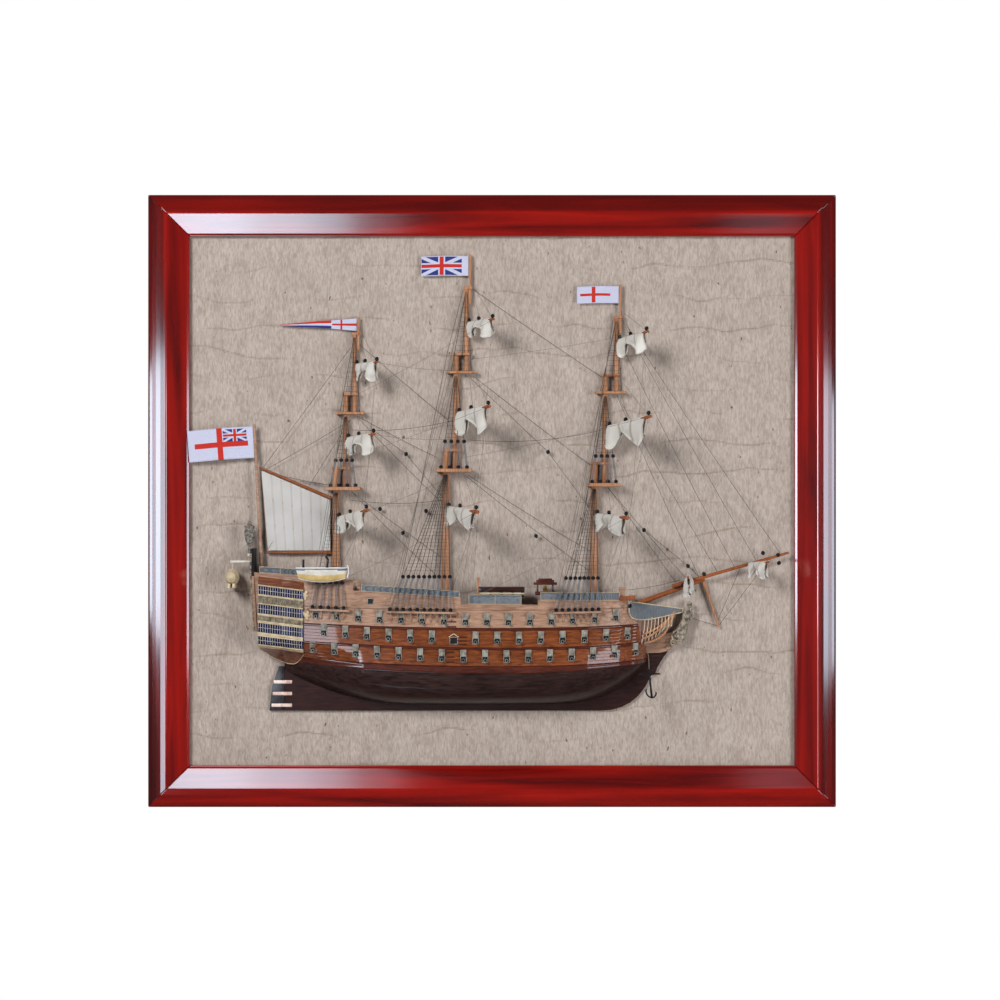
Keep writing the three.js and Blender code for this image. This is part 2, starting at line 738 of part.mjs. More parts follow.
for (const [name, mast] of Object.entries(masts)) {
  const footZ = standingHeight(mastDecks[name], mast.lowerX, mast.lowerRadius);
  const platformX = mast.topmastX - 2.5;
  const crosstreesX = (mast.topmastX + mast.topgallantX) / 2;
  const topmastHeelZ = mast.topZ + topThickness / 2 + clearance;
  const topgallantHeelZ = mast.crosstreesZ + crosstreesThickness / 2 + clearance;

  const lower = join(
    stick(mast.lowerX, footZ, mast.lowerCapZ - 1, mast.lowerRadius),
    platform(platformX, mast.topZ, mast.topWidth, topReach, topThickness),
    cap(mast.lowerX, mast.topmastX, mast.lowerCapZ, mast.topmastRadius),
    yardOn(mast.lowerX, yards[name].lower),
  );
  addModelPiece(
    `${name}_lower_mast`,
    openCap(lower, mast.topmastX, mast.topmastRadius, mast.lowerCapZ),
    sparWood,
  );

  const topmast = join(
    stick(mast.topmastX, topmastHeelZ, mast.topmastCapZ - 1, mast.topmastRadius),
    platform(crosstreesX, mast.crosstreesZ, mast.crosstreesWidth, crosstreesReach, crosstreesThickness),
    cap(mast.topmastX, mast.topgallantX, mast.topmastCapZ, mast.topgallantRadius),
    yardOn(mast.topmastX, yards[name].topmast),
  );
  addModelPiece(
    `${name}_topmast`,
    openCap(topmast, mast.topgallantX, mast.topgallantRadius, mast.topmastCapZ),
    sparWood,
  );

  addModelPiece(
    `${name}_topgallant_mast`,
    join(
      stick(mast.topgallantX, topgallantHeelZ, mast.headZ - 1, mast.topgallantRadius),
      stick(mast.poleX, mast.headZ - poleLap, mast.poleTopZ, poleRadius),
      cap(mast.topgallantX, mast.poleX, mast.headZ, poleRadius),
      yardOn(mast.topgallantX, yards[name].topgallant),
    ),
    sparWood,
  );
}

// Furled sails: a closed drape under each yard, deeper towards the yard arm
const furledSail = (root, yard, drop, mastRadius) => {
  const start = new THREE.Vector3(...root);
  const along = new THREE.Vector3(...yard.tip).sub(start);
  const length = along.length();
  const sideways = along.clone().cross(new THREE.Vector3(0, 0, 1)).normalize();
  const geometry = new THREE.CylinderGeometry(1, 1, 1, sailSides, sailSteps);
  const position = geometry.attributes.position;
  for (let i = 0; i < position.count; i += 1) {
    const run = mix((mastRadius + sailMastGap) / length, sailEnd, position.getY(i) + 0.5);
    const yardRadius = yard.radius * mix(1, yardTipRatio, run);
    const hang = (1 - position.getZ(i)) / 2;
    const depth = drop * mix(0.78, 1, Math.sin(run * 2.6));
    const point = start.clone()
      .addScaledVector(along, run)
      .addScaledVector(sideways, (position.getX(i) * sailWidth * mix(1, 0.7, hang)) / 2);
    position.setXYZ(i, point.x, point.y, point.z - yardRadius - clearance - hang * depth);
  }
  return cornersOnly(geometry);
};

for (const [name, mast] of Object.entries(masts)) {
  for (const [level, yard] of Object.entries(yards[name])) {
    const root = [mast[`${level}X`], mastY, yard.rootZ];
    const sail = furledSail(root, yard, sailDrop[name][level], mast[`${level}Radius`]);
    addModelPiece(`${name}_${level}_sail`, sail, cloth);
  }
}

// Bowsprit, and the jib boom beside it with two small yards slung across it
const bowsprit = spar(bowspritHeel, bowspritHead, bowspritRadius, bowspritRadius * 0.8);
addModelPiece('bowsprit', bowsprit, sparWood);
const jibBoomSlope = (jibBoomTip[2] - jibBoomHeel[2]) / (jibBoomTip[0] - jibBoomHeel[0]);
const jibBoomZ = (x) => jibBoomHeel[2] + jibBoomSlope * (x - jibBoomHeel[0]);
const slungYard = (yard) => join(
  spar(yard.root, yard.tip, yard.radius, yard.radius * yardTipRatio),
  spar([yard.root[0], yard.root[1], jibBoomZ(yard.root[0])], yard.root, yard.radius, yard.radius),
);
addModelPiece(
  'jib_boom',
  join(
    spar(jibBoomHeel, jibBoomTip, jibBoomRadius, jibBoomRadius * 0.65),
    slungYard(spritYard),
    slungYard(spritTopYard),
  ),
  sparWood,
);
addModelPiece('bowsprit_sail', furledSail(spritYard.root, spritYard, spritYard.drop, jibBoomRadius), cloth);
addModelPiece(
  'jib_boom_sail',
  furledSail(spritTopYard.root, spritTopYard, spritTopYard.drop, jibBoomRadius),
  cloth,
);
addModelPiece(
  'dolphin_striker',
  cutClear(spar(strikerTop, strikerFoot, strikerRadius, strikerRadius * 0.6, 8), bowsprit),
  sparWood,
);

// Gaff, boom and spanker behind the mizzen mast
addModelPiece('gaff', spar(gaffRoot, gaffPeak, gaffRadius, gaffRadius * 0.65), sparWood);
addModelPiece('boom', spar(boomRoot, boomEnd, boomRadius, boomRadius * 0.75), sparWood);
const gaffSlope = (gaffPeak[2] - gaffRoot[2]) / (gaffPeak[0] - gaffRoot[0]);
const underGaff = (x) => gaffRoot[2] + gaffSlope * (x - gaffRoot[0]) - gaffRadius * 1.2 - clearance;
const spankerFootZ = boomRoot[2] + boomRadius + clearance;
const luffX = gaffRoot[0] - spankerLuffGap;
const clewX = boomEnd[0] + 2;
const peakX = clewX - spankerLeechSlope * (underGaff(clewX) - spankerFootZ) / 1.5;
addModelPiece(
  'spanker',
  slab(
    [[luffX, spankerFootZ], [luffX, underGaff(luffX)], [peakX, underGaff(peakX)], [clewX, spankerFootZ]],
    mastY + spankerThickness / 2,
    spankerThickness,
  ),
  cloth,
);

// Ensign staff and flags
const staffX = (z) => staffTop[0] + staffRake * (staffTop[2] - z);
const staffFootZ = standingHeight(stretches.poop, staffX(railTopZ), 2 * staffRadius);
addModelPiece(
  'ensign_staff',
  spar([staffX(staffFootZ), staffY, staffFootZ], staffTop, staffRadius, staffRadius * 0.7, 8),
  paleWood,
);

const flag = (hoistX, y, size, shrink = () => 1) =>
  bentBox(flagSteps, 1, 1, (along, inward, up) => {
    const fly = 1 - along;
    const wave = flagWave * Math.sin(fly * 7) * fly;
    const height = size.height * shrink(fly);
    const z = size.topZ - size.height / 2 + (up - 0.5) * height;
    return [hoistX(z) - fly * size.length, y + wave + (inward - 0.5) * flagThickness, z];
  });

addModelPiece('ensign', flag((z) => staffX(z) - staffRadius - clearance, staffY, ensignSize), flagCloth);
addModelPiece(
  'main_flag',
  flag(() => masts.main.poleX - poleRadius - clearance, mastY, unionFlagSize),
  flagCloth,
);
addModelPiece(
  'fore_flag',
  flag(() => masts.fore.poleX - poleRadius - clearance, mastY, crossFlagSize),
  flagCloth,
);
const pennantShape = { ...pennantSize, height: pennantSize.hoist };
const pennantShrink = (fly) => {
  const { squareShare, tail, hoist, waist } = pennantSize;
  if (fly < squareShare) return mix(1, waist, fly / squareShare);
  return mix(waist, tail / hoist, (fly - squareShare) / (1 - squareShare));
};
addModelPiece(
  'mizzen_pennant',
  flag(() => masts.mizzen.poleX - poleRadius - clearance, mastY, pennantShape, pennantShrink),
  flagCloth,
);

// Head of the ship: knee, carved figure, and the netted panel with its curved rails
const kneeOutline = [
  [stemX + 8.5, -198], [261, -191.5], [280, -176.5], [287, -160], [291, -163],
  [283, -184], [270, -207], [258, -218], [246, -224], [stemX + 12.7, -234],
];
addModelPiece('head_knee', slab(kneeOutline, hullBack, kneeThickness), paleWood);

const blob = ({ centre, radii, tilt }) =>
  new THREE.SphereGeometry(1, 8, 6).scale(...radii).rotateY(tilt).translate(...centre);
addModelPiece('figurehead', join(...figureParts.map(blob)), carving);

const panelY = (x) => {
  const share = (x - headPanelAft[0]) / (headPanelFore[0] - headPanelAft[0]);
  return mix(headPanelAft[1], headPanelFore[1], share);
};
const headPanel = bentBox(6, 1, 1, (along, inward, up) => {
  const x = mix(headPanelAft[0], headPanelFore[0], along);
  const topZ = mix(-145, -157, along);
  const bottomZ = -162 - 10 * Math.sin(Math.PI * Math.sqrt(along));
  return [x, panelY(x) + inward * headPanelThickness, mix(bottomZ, topZ, up)];
});
const upperRail = bar(
  [[266, -28.5, -161], [250, -35, -177], [234, -41, -187], [221, -45, -193]],
  headRailRadius, 8,
);
const lowerRail = bar(
  [[266, -29, -163], [252, -36, -190], [238, -42, -201], [223, -45, -206]],
  headRailRadius, 8,
);
const headTimber = bar([[243, -38, -166], [242, -39, -185], [241, -40.5, -200]], headRailRadius, 4);
addModelPiece(
  'head_rails',
  cutClear(join(headPanel, upperRail, lowerRail, headTimber), topsides),
  netting,
);

// Cathead, anchor and the rope that the anchor hangs on
const catheadStart = [
  catheadRoot[0], hullBack - topsideBreadth(...catheadRoot) + 5, catheadRoot[1] + catheadRadius + 5,
];
const catheadTip = catheadStart.map((value, axis) => value + catheadSpread[axis]);
addModelPiece(
  'cathead',
  cutClear(spar(catheadStart, catheadTip, catheadRadius, catheadRadius, 4), forecastle),
  sparWood,
);

const anchorMiddle = anchorCrown.map((value, axis) => mix(anchorRing[axis], value, 0.14));
const armAt = (side, reach, rise) => [
  anchorCrown[0] + side * reach, anchorY, anchorCrown[2] + rise,
];
addModelPiece(
  'anchor',
  join(
    spar(anchorRing, anchorCrown, anchorRadius, anchorRadius * 1.3, 8),
    spar(
      [anchorMiddle[0] - anchorStockLength / 2, anchorY, anchorMiddle[2]],
      [anchorMiddle[0] + anchorStockLength / 2, anchorY, anchorMiddle[2]],
      anchorRadius * 1.1, anchorRadius * 1.1, 8,
    ),
    bar([
      armAt(-1, anchorArmReach, 13), armAt(-1, anchorArmReach * 0.55, 4), armAt(0, 0, 0.5),
      armAt(1, anchorArmReach * 0.55, 4), armAt(1, anchorArmReach, 13),
    ], anchorRadius, 10),
  ),
  blackIron,
);

const cableStart = [
  catheadTip[0] - 3, catheadTip[1] + 3, catheadTip[2] - catheadRadius - cableRadius - clearance,
];
const cableEnd = [anchorRing[0], anchorY, anchorRing[2] + anchorRadius * 0.2 + clearance + cableRadius];
addModelPiece(
  'anchor_rope',
  bar([
    cableStart,
    [213, -74, -178],
    [222, -66, -204],
    [226, -59, -226],
    cableEnd,
  ], cableRadius, cableSteps, 8),
  ropeFibre,
);

// Channels: shelves below the sheer that carry the deadeyes
for (const [name, channel] of Object.entries(channels)) {
  const shelf = bentBox(6, 1, 1, (along, inward, up) => {
    const x = mix(channel.from, channel.to, along);
    const z = lineHeight(plankSheer, x) - channelBelowSheer + (up - 0.5) * channelThickness;
    const face = hullBack - topsideBreadth(x, z);
    return [x, inward < 0.5 ? face - channelReach : face + 3, z];
  });
  addModelPiece(`${name}_channel`, cutClear(shelf, topsides), paleWood);
}

export default group;
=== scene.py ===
import math
import random

import bmesh
import bpy
from mathutils import Matrix, Vector, noise


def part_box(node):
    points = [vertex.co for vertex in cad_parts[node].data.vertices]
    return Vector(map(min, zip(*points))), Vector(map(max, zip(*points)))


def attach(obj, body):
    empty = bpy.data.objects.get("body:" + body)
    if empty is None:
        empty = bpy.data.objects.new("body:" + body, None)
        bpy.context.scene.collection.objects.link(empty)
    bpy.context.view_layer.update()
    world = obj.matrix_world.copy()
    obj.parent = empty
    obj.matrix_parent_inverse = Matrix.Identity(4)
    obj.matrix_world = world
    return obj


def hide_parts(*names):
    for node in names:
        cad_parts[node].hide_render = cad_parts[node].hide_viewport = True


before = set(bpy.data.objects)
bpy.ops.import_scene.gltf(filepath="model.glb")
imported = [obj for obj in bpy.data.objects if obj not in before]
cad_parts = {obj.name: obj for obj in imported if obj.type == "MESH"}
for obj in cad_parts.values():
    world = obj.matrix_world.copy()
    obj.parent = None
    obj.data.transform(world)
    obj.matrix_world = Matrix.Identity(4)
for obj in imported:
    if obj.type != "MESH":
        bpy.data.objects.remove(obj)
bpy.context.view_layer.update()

mm = 0.001
random.seed(17)


# Numbers, points and meshes; all drawn in millimetres and made in metres
def mix(start, end, share):
    return start + (end - start) * share


def clamp(value):
    return min(1.0, max(0.0, value))


def smooth(value):
    share = clamp(value)
    return share * share * (3 - 2 * share)


def at(x, y, z):
    return Vector((x, y, z)) * mm


def shift(x, y, z):
    return Matrix.Translation(at(x, y, z))


def between(start, end, share):
    return tuple(mix(a, b, share) for a, b in zip(start, end))


view = {"distance": 3545, "pixels": 2415, "aimX": 11.6, "aimZ": 1.45, "middle": 500}


def seen(px, py, y):  # the point at depth y that the photo shows at px, py
    scale = (view["distance"] + y) / view["pixels"]
    return (view["aimX"] + (px - view["middle"]) * scale, y, view["aimZ"] - (py - view["middle"]) * scale)


def activate(piece):
    bpy.ops.object.select_all(action="DESELECT")
    piece.select_set(True)
    bpy.context.view_layer.objects.active = piece
    return piece


def linked(name, data):
    piece = bpy.data.objects.new(name, data)
    bpy.context.collection.objects.link(piece)
    return piece


def meshPiece(name, points, faces, uvs=None):
    mesh = bpy.data.meshes.new(name)
    mesh.from_pydata([at(*point) for point in points], [], faces)
    if uvs:
        layer = mesh.uv_layers.new(name="UVMap")
        for loop in mesh.loops:
            layer.data[loop.index].uv = uvs[loop.vertex_index]
    mesh.update()
    return linked(name, mesh)


def gridPlaces(columns, rows):  # u and v at each corner of a grid
    return [(column / columns, row / rows) for row in range(rows + 1) for column in range(columns + 1)]


def gridCorners(columns, rows):  # the first corner of each face
    return [row * (columns + 1) + column for row in range(rows) for column in range(columns)]


def gridSheet(name, columns, rows, pointAt):  # an open sheet, u along it and v up it
    uvs = gridPlaces(columns, rows)
    faces = [(a, a + 1, a + columns + 2, a + columns + 1) for a in gridCorners(columns, rows)]
    return meshPiece(name, [pointAt(u, v) for u, v in uvs], faces, uvs)


def gridSolid(name, columns, rows, frontAt, backAt):  # closed: a shaped front, and the same grid at the back
    uvs = gridPlaces(columns, rows)
    wide, count, faces = columns + 1, len(uvs), []
    for a in gridCorners(columns, rows):
        faces.append((a, a + 1, a + wide + 1, a + wide))
        faces.append((count + a, count + a + wide, count + a + wide + 1, count + a + 1))
    for column in range(columns):
        top = rows * wide + column
        faces.append((column + 1, column, count + column, count + column + 1))
        faces.append((top, top + 1, count + top + 1, count + top))
    for row in range(rows):
        left, right = row * wide, row * wide + columns
        faces.append((left, left + wide, count + left + wide, count + left))
        faces.append((right + wide, right, count + right, count + right + wide))
    points = [frontAt(u, v) for u, v in uvs] + [backAt(u, v) for u, v in uvs]
    return meshPiece(name, points, faces, uvs * 2)


def backOf(frontAt, depthAt):  # the back of a grid: behind each point of the front, at another depth
    def back(u, v):
        x, y, z = frontAt(u, v)
        return (x, depthAt(x, z), z)

    return back


def shapeFaces(piece, chosen, *steps):  # edit-mode operators on the faces that a test picks
    activate(piece)
    bpy.ops.object.mode_set(mode="EDIT")
    bpy.ops.mesh.select_mode(type="FACE")
    bpy.ops.mesh.select_all(action="DESELECT")
    for face in bmesh.from_edit_mesh(piece.data).faces:
        face.select_set(bool(chosen(face)))
    bmesh.update_edit_mesh(piece.data)
    for step in steps:
        step()
    bpy.ops.object.mode_set(mode="OBJECT")
    return piece


def inset(thickness, depth=0.0):
    return lambda: bpy.ops.mesh.inset(thickness=thickness * mm, depth=depth * mm)


def pushOut(x, y, z):
    move = {"value": (x * mm, y * mm, z * mm)}
    return lambda: bpy.ops.mesh.extrude_region_move(TRANSFORM_OT_translate=move)


def addModifier(piece, kind, **settings):
    activate(piece)
    modifier = piece.modifiers.new(kind.lower(), kind)
    for key, value in settings.items():
        setattr(modifier, key, value)
    bpy.ops.object.modifier_apply(modifier=modifier.name)
    return piece


def shaded(piece, angle=None):  # smooth, but for edges sharper than the angle
    activate(piece)
    if angle is None:
        bpy.ops.object.shade_smooth()
    else:
        bpy.ops.object.shade_smooth_by_angle(angle=math.radians(angle))
    return piece


def softenEdges(piece, width, segments=2, angle=35):
    return shaded(addModifier(
        piece, "BEVEL", width=width * mm, segments=segments,
        limit_method="ANGLE", angle_limit=math.radians(angle),
    ), 40)


def edited(piece, *steps):  # edit-mode operators on the whole piece
    activate(piece)
    bpy.ops.object.mode_set(mode="EDIT")
    bpy.ops.mesh.select_all(action="SELECT")
    for step in steps:
        step()
    bpy.ops.object.mode_set(mode="OBJECT")
    return piece


def turnedOut(piece):  # all faces point outwards
    return edited(piece, lambda: bpy.ops.mesh.normals_make_consistent(inside=False))


def joined(name, pieces):
    activate(pieces[0])
    for piece in pieces[1:]:
        piece.select_set(True)
    if len(pieces) > 1:
        bpy.ops.object.join()
    pieces[0].name = name
    pieces[0].data.name = name
    return pieces[0]


def copies(name, model, places):  # one modelled piece, copied to each place, each with its own mesh
    made = []
    for place in places:
        copy = model.copy()
        copy.data = model.data.copy()
        copy.data.transform(place)
        bpy.context.collection.objects.link(copy)
        made.append(copy)
    bpy.data.objects.remove(model)
    return joined(name, made)


def addBox(low, high):
    size = Vector(high) - Vector(low)
    middle = (Vector(high) + Vector(low)) / 2
    bpy.ops.mesh.primitive_cube_add(size=1)
    piece = bpy.context.object
    piece.data.transform(Matrix.Translation(middle * mm) @ Matrix.Diagonal((*(size * mm), 1)))
    return piece


def addSpar(start, end, startRadius, endRadius, sides=20):
    foot, head = at(*start), at(*end)
    bpy.ops.mesh.primitive_cone_add(
        vertices=sides, radius1=startRadius * mm, radius2=endRadius * mm, depth=(head - foot).length,
    )
    piece = bpy.context.object
    turn = (head - foot).to_track_quat("Z", "Y").to_matrix().to_4x4()
    piece.data.transform(Matrix.Translation((foot + head) / 2) @ turn)
    return piece


def addBall(centre, radii, segments=12, rings=8):
    bpy.ops.mesh.primitive_uv_sphere_add(segments=segments, ring_count=rings, radius=1)
    piece = bpy.context.object
    piece.data.transform(shift(*centre) @ Matrix.Diagonal((*(Vector(radii) * mm), 1)))
    return piece


def ropes(name, lines, radius, sides=1):  # thin round lines through lists of points, as one mesh
    curve = bpy.data.curves.new(name, "CURVE")
    curve.dimensions = "3D"
    curve.bevel_depth = radius * mm
    curve.bevel_resolution = sides
    curve.use_fill_caps = True
    for line in lines:
        spline = curve.splines.new("POLY")
        spline.points.add(len(line) - 1)
        for point, place in zip(spline.points, line):
            point.co = (*at(*place), 1)
    activate(linked(name, curve))
    bpy.ops.object.convert(target="MESH")
    return bpy.context.object


def sagging(start, end, sag, steps=6):
    line = []
    for step in range(steps + 1):
        share = step / steps
        x, y, z = between(start, end, share)
        line.append((x, y, z - sag * 4 * share * (1 - share)))
    return line


def addMaterials(piece, *materials):
    for material in materials:
        piece.data.materials.append(material)
    return piece


def finished(piece, material, replaced=()):
    if material is not None:
        piece.data.materials.clear()
        addMaterials(piece, material)
    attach(piece, "root")
    if replaced:
        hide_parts(*replaced)
    return piece


def addNode(tree, kind, inputs=None, **settings):
    node = tree.nodes.new(kind)
    for key, value in settings.items():
        setattr(node, key, value)
    for key, value in (inputs or {}).items():
        if isinstance(value, bpy.types.NodeSocket):
            tree.links.new(value, node.inputs[key])
        else:
            node.inputs[key].default_value = value
    return node


# Camera and light
cameraValues = {"lens": 86.94, "sensor": 36, "place": (11.6, -3545, 1.45)}
cameraData = bpy.data.cameras.new("photoCamera")
cameraData.lens = cameraValues["lens"]
cameraData.sensor_width = cameraValues["sensor"]
camera = linked("photoCamera", cameraData)
camera.location = at(*cameraValues["place"])
camera.rotation_euler = (math.pi / 2, 0, 0)
bpy.context.scene.camera = camera

stageValues = {
    "floor": {"z": -1700, "y": -1700, "size": (5, 3.8)},
    "skyTone": (0.8, 0.82, 0.88),
    "skyStrength": 0.045,
    "boxTone": (0.74, 0.86, 1.0),
    "lights": [  # name, place, aim, width, height, watts
        ("keyLight", (-1500, -2600, 1150), (0, 0, -60), 900, 900, 74),
        ("fillLight", (1900, -2300, -200), (0, 0, -50), 900, 1600, 46),
    ],
    "rowHeight": 300,
    "rows": [  # boxes that only show mirrored in a level rail: name, y, z, aim, then x, width and brightness
        ("lowBox", -1611, -3272, 364, (
            (-921, 317, 8.1), (-670, 186, 5.9), (-515, 124, 4.4), (-376, 153, 0.8), (832, 217, 0.4),
        )),
        ("topBox", -1613, 3277, -364, (
            (-921, 317, 6.8), (-670, 186, 4.8), (-515, 124, 3.1), (-376, 153, 0.9), (870, 200, 0.4),
        )),
    ],
    "boxes": [  # for the upright rails and the stern's planks: name, place, aim, width, height, brightness
        ("leftBox", (-2532, -2948, 15), (-492, -44, 15), 2130, 820, 8.2),
        ("leftEdgeBox", (-2459, -405, 15), (-492, -44, 15), 330, 560, 7.5),
        ("rightBox", (2532, -2948, -73), (492, -44, -73), 2130, 900, 4.4),
        ("rightEdgeBox", (2459, -405, -73), (492, -44, -73), 330, 620, 4.4),
        ("sternBox", (-1080, -2450, -350), (-253, -75, -200), 330, 1450, 4.5),
    ],
}


def addLight(name, place, aim, width, height, watts):
    data = bpy.data.lights.new(name, "AREA")
    data.shape = "RECTANGLE"
    data.size = width * mm
    data.size_y = height * mm
    data.energy = watts
    light = linked(name, data)
    light.location = at(*place)
    light.rotation_euler = (at(*aim) - at(*place)).to_track_quat("-Z", "Y").to_euler()
    return light


for lightValues in stageValues["lights"]:
    addLight(*lightValues).visible_glossy = False
rowBoxes = [  # the height of each box is the same
    (name, (x, y, z), (x, 0, aim), width, stageValues["rowHeight"], brightness)
    for name, y, z, aim, row in stageValues["rows"] for x, width, brightness in row
]
for *boxValues, width, height, brightness in rowBoxes + stageValues["boxes"]:
    box = addLight(*boxValues, width, height, brightness * math.pi * width * height * mm * mm)
    box.data.color = stageValues["boxTone"]
    box.visible_diffuse = False

world = bpy.data.worlds.new("paleStudio")
bpy.context.scene.world = world
world.use_nodes = True
tree = world.node_tree
sky = tree.nodes["Background"]
sky.inputs["Color"].default_value = (*stageValues["skyTone"], 1)
sky.inputs["Strength"].default_value = stageValues["skyStrength"]
behind = addNode(tree, "ShaderNodeBackground", {"Color": (1, 1, 1, 1)})
rays = addNode(tree, "ShaderNodeLightPath")
chooser = addNode(tree, "ShaderNodeMixShader", {
    "Fac": rays.outputs["Is Camera Ray"], 1: sky.outputs["Background"], 2: behind.outputs["Background"],
})
tree.links.new(chooser.outputs["Shader"], tree.nodes["World Output"].inputs["Surface"])
bpy.context.scene.view_settings.view_transform = "Standard"
print("camera and light are in place")


# Shared shader groups
def startGroup(name, inputs, outputs):  # an input with no value of its own is a vector
    group = bpy.data.node_groups.new(name, "ShaderNodeTree")
    for label, value in inputs.items():
        kind = "NodeSocketVector" if value is None else "NodeSocketFloat"
        socket = group.interface.new_socket(label, in_out="INPUT", socket_type=kind)
        if value is not None:
            socket.default_value = value
    for label in outputs:
        group.interface.new_socket(label, in_out="OUTPUT", socket_type="NodeSocketFloat")
    return group, group.nodes.new("NodeGroupInput").outputs, group.nodes.new("NodeGroupOutput").inputs


def handNoise(group, given, handed, scale, detail, **more):  # a noise from the group's vector to one output
    inputs = {"Vector": given["Vector"], "Scale": scale, "Detail": detail, **more}
    group.links.new(addNode(group, "ShaderNodeTexNoise", inputs).outputs["Fac"], handed)


woodGrain, given, handed = startGroup("woodGrain", {"Vector": None, "Scale": 1.0}, ["Figure", "Fibre"])
finer = addNode(woodGrain, "ShaderNodeMath", {0: given["Scale"], 1: 4.5}, operation="MULTIPLY")
handNoise(woodGrain, given, handed["Figure"], given["Scale"], 5.0, Distortion=0.6)
handNoise(woodGrain, given, handed["Fibre"], finer.outputs[0], 3.0)

handWear, given, handed = startGroup(
    "handWear", {"Vector": None, "Patches": 40.0, "Specks": 600.0}, ["Patch", "Speck"],
)
handNoise(handWear, given, handed["Patch"], given["Patches"], 4.0)
handNoise(handWear, given, handed["Speck"], given["Specks"], 1.0)

plainWeave, given, handed = startGroup("plainWeave", {"Vector": None, "Threads": 1000.0}, ["Threads", "Slub"])
waves = {
    "Vector": given["Vector"], "Scale": given["Threads"], "Distortion": 1.2,
    "Detail": 1.0, "Detail Scale": 0.4,
}
warp, weft = [
    addNode(plainWeave, "ShaderNodeTexWave", waves, bands_direction=axis).outputs["Fac"] for axis in "XY"
]
crossing = addNode(plainWeave, "ShaderNodeMath", {0: warp, 1: weft}, operation="MULTIPLY")
plainWeave.links.new(crossing.outputs[0], handed["Threads"])
handNoise(plainWeave, given, handed["Slub"], given["Threads"], 3.0)


def useGroup(tree, group, **inputs):
    return addNode(tree, "ShaderNodeGroup", inputs, node_tree=group).outputs


def startMaterial(name, sockets):
    material = bpy.data.materials.new(name)
    material.use_nodes = True
    shader = material.node_tree.nodes["Principled BSDF"]
    for key, value in sockets.items():
        shader.inputs[key].default_value = value
    return material, material.node_tree, shader


def ramp(tree, factor, stops):
    node = addNode(tree, "ShaderNodeValToRGB", {"Fac": factor})
    while len(node.color_ramp.elements) < len(stops):
        node.color_ramp.elements.new(0.5)
    for element, (place, colour) in zip(node.color_ramp.elements, stops):
        element.position = place
        element.color = (*colour, 1)
    return node.outputs["Color"]


def scaled(tree, factor, low, high, fromLow=0.3, fromHigh=0.7):
    node = addNode(tree, "ShaderNodeMapRange", {
        "Value": factor, "From Min": fromLow, "From Max": fromHigh, "To Min": low, "To Max": high,
    })
    return node.outputs["Result"]


def multiplied(tree, first, second, share=1.0):
    inputs = {0: share, 6: first, 7: second}
    return addNode(tree, "ShaderNodeMix", inputs, data_type="RGBA", blend_type="MULTIPLY").outputs[2]


def surfaced(tree, shader, colour, roughness, height, depth):  # depth of the relief in mm
    tree.links.new(colour, shader.inputs["Base Color"])
    tree.links.new(roughness, shader.inputs["Roughness"])
    relief = addNode(tree, "ShaderNodeBump", {"Height": height, "Distance": depth * mm, "Strength": 1.0})
    tree.links.new(relief.outputs["Normal"], shader.inputs["Normal"])


def placedVector(tree, stretch=(1, 1, 1), turn=(0, 0, 0), source="Object"):
    coordinates = addNode(tree, "ShaderNodeTexCoord")
    mapping = addNode(tree, "ShaderNodeMapping", {
        "Vector": coordinates.outputs[source], "Scale": stretch, "Rotation": turn,
    })
    return mapping.outputs["Vector"]


def woodMaterial(
    name, dark, light, stretch, scale=9, roughness=(0.35, 0.5), coat=0.0, bump=0.08, patches=25, shine=1.5,
    under=0.3, blur=0.04, paintedShade=None,
):
    material, tree, shader = startMaterial(name, {
        "Coat Weight": coat, "Coat Roughness": blur, "Coat IOR": shine, "Specular IOR Level": under,
    })
    grain = useGroup(tree, woodGrain, Vector=placedVector(tree, stretch), Scale=scale)
    wear = useGroup(tree, handWear, Vector=placedVector(tree), Patches=patches)
    figured = ramp(tree, grain["Figure"], [(0.3, dark), (0.5, between(dark, light, 0.5)), (0.7, light)])
    worn = ramp(tree, wear["Patch"], [(0.3, (0.72, 0.72, 0.72)), (0.7, (1, 1, 1))])
    colour = multiplied(tree, figured, worn, 0.75)
    if paintedShade:  # painted shade, darker from a line outwards: axis, where it starts, how much light is kept
        axis, starts, kept = paintedShade
        away = addNode(tree, "ShaderNodeSeparateXYZ", {"Vector": placedVector(tree)}).outputs[axis]
        if axis == "X":
            away = addNode(tree, "ShaderNodeMath", {0: away}, operation="ABSOLUTE").outputs[0]
        band = addNode(tree, "ShaderNodeMapRange", {
            "Value": away, "From Min": starts, "From Max": starts + 0.006, "To Min": 1.0, "To Max": kept,
        }, interpolation_type="SMOOTHSTEP")
        paintedShadeTone = addNode(tree, "ShaderNodeHueSaturation", {"Color": colour, "Value": band.outputs["Result"]})
        colour = paintedShadeTone.outputs["Color"]
    surfaced(tree, shader, colour, scaled(tree, wear["Patch"], *roughness), grain["Fibre"], bump)
    return material


def paintMaterial(name, dark, light, roughness=(0.35, 0.55), metallic=0.0, bump=0.05, patches=120):
    material, tree, shader = startMaterial(name, {"Metallic": metallic})
    wear = useGroup(tree, handWear, Vector=placedVector(tree), Patches=patches, Specks=2200)
    colour = ramp(tree, wear["Patch"], [(0.35, dark), (0.62, light)])
    surfaced(tree, shader, colour, scaled(tree, wear["Speck"], *roughness), wear["Speck"], bump)
    return material


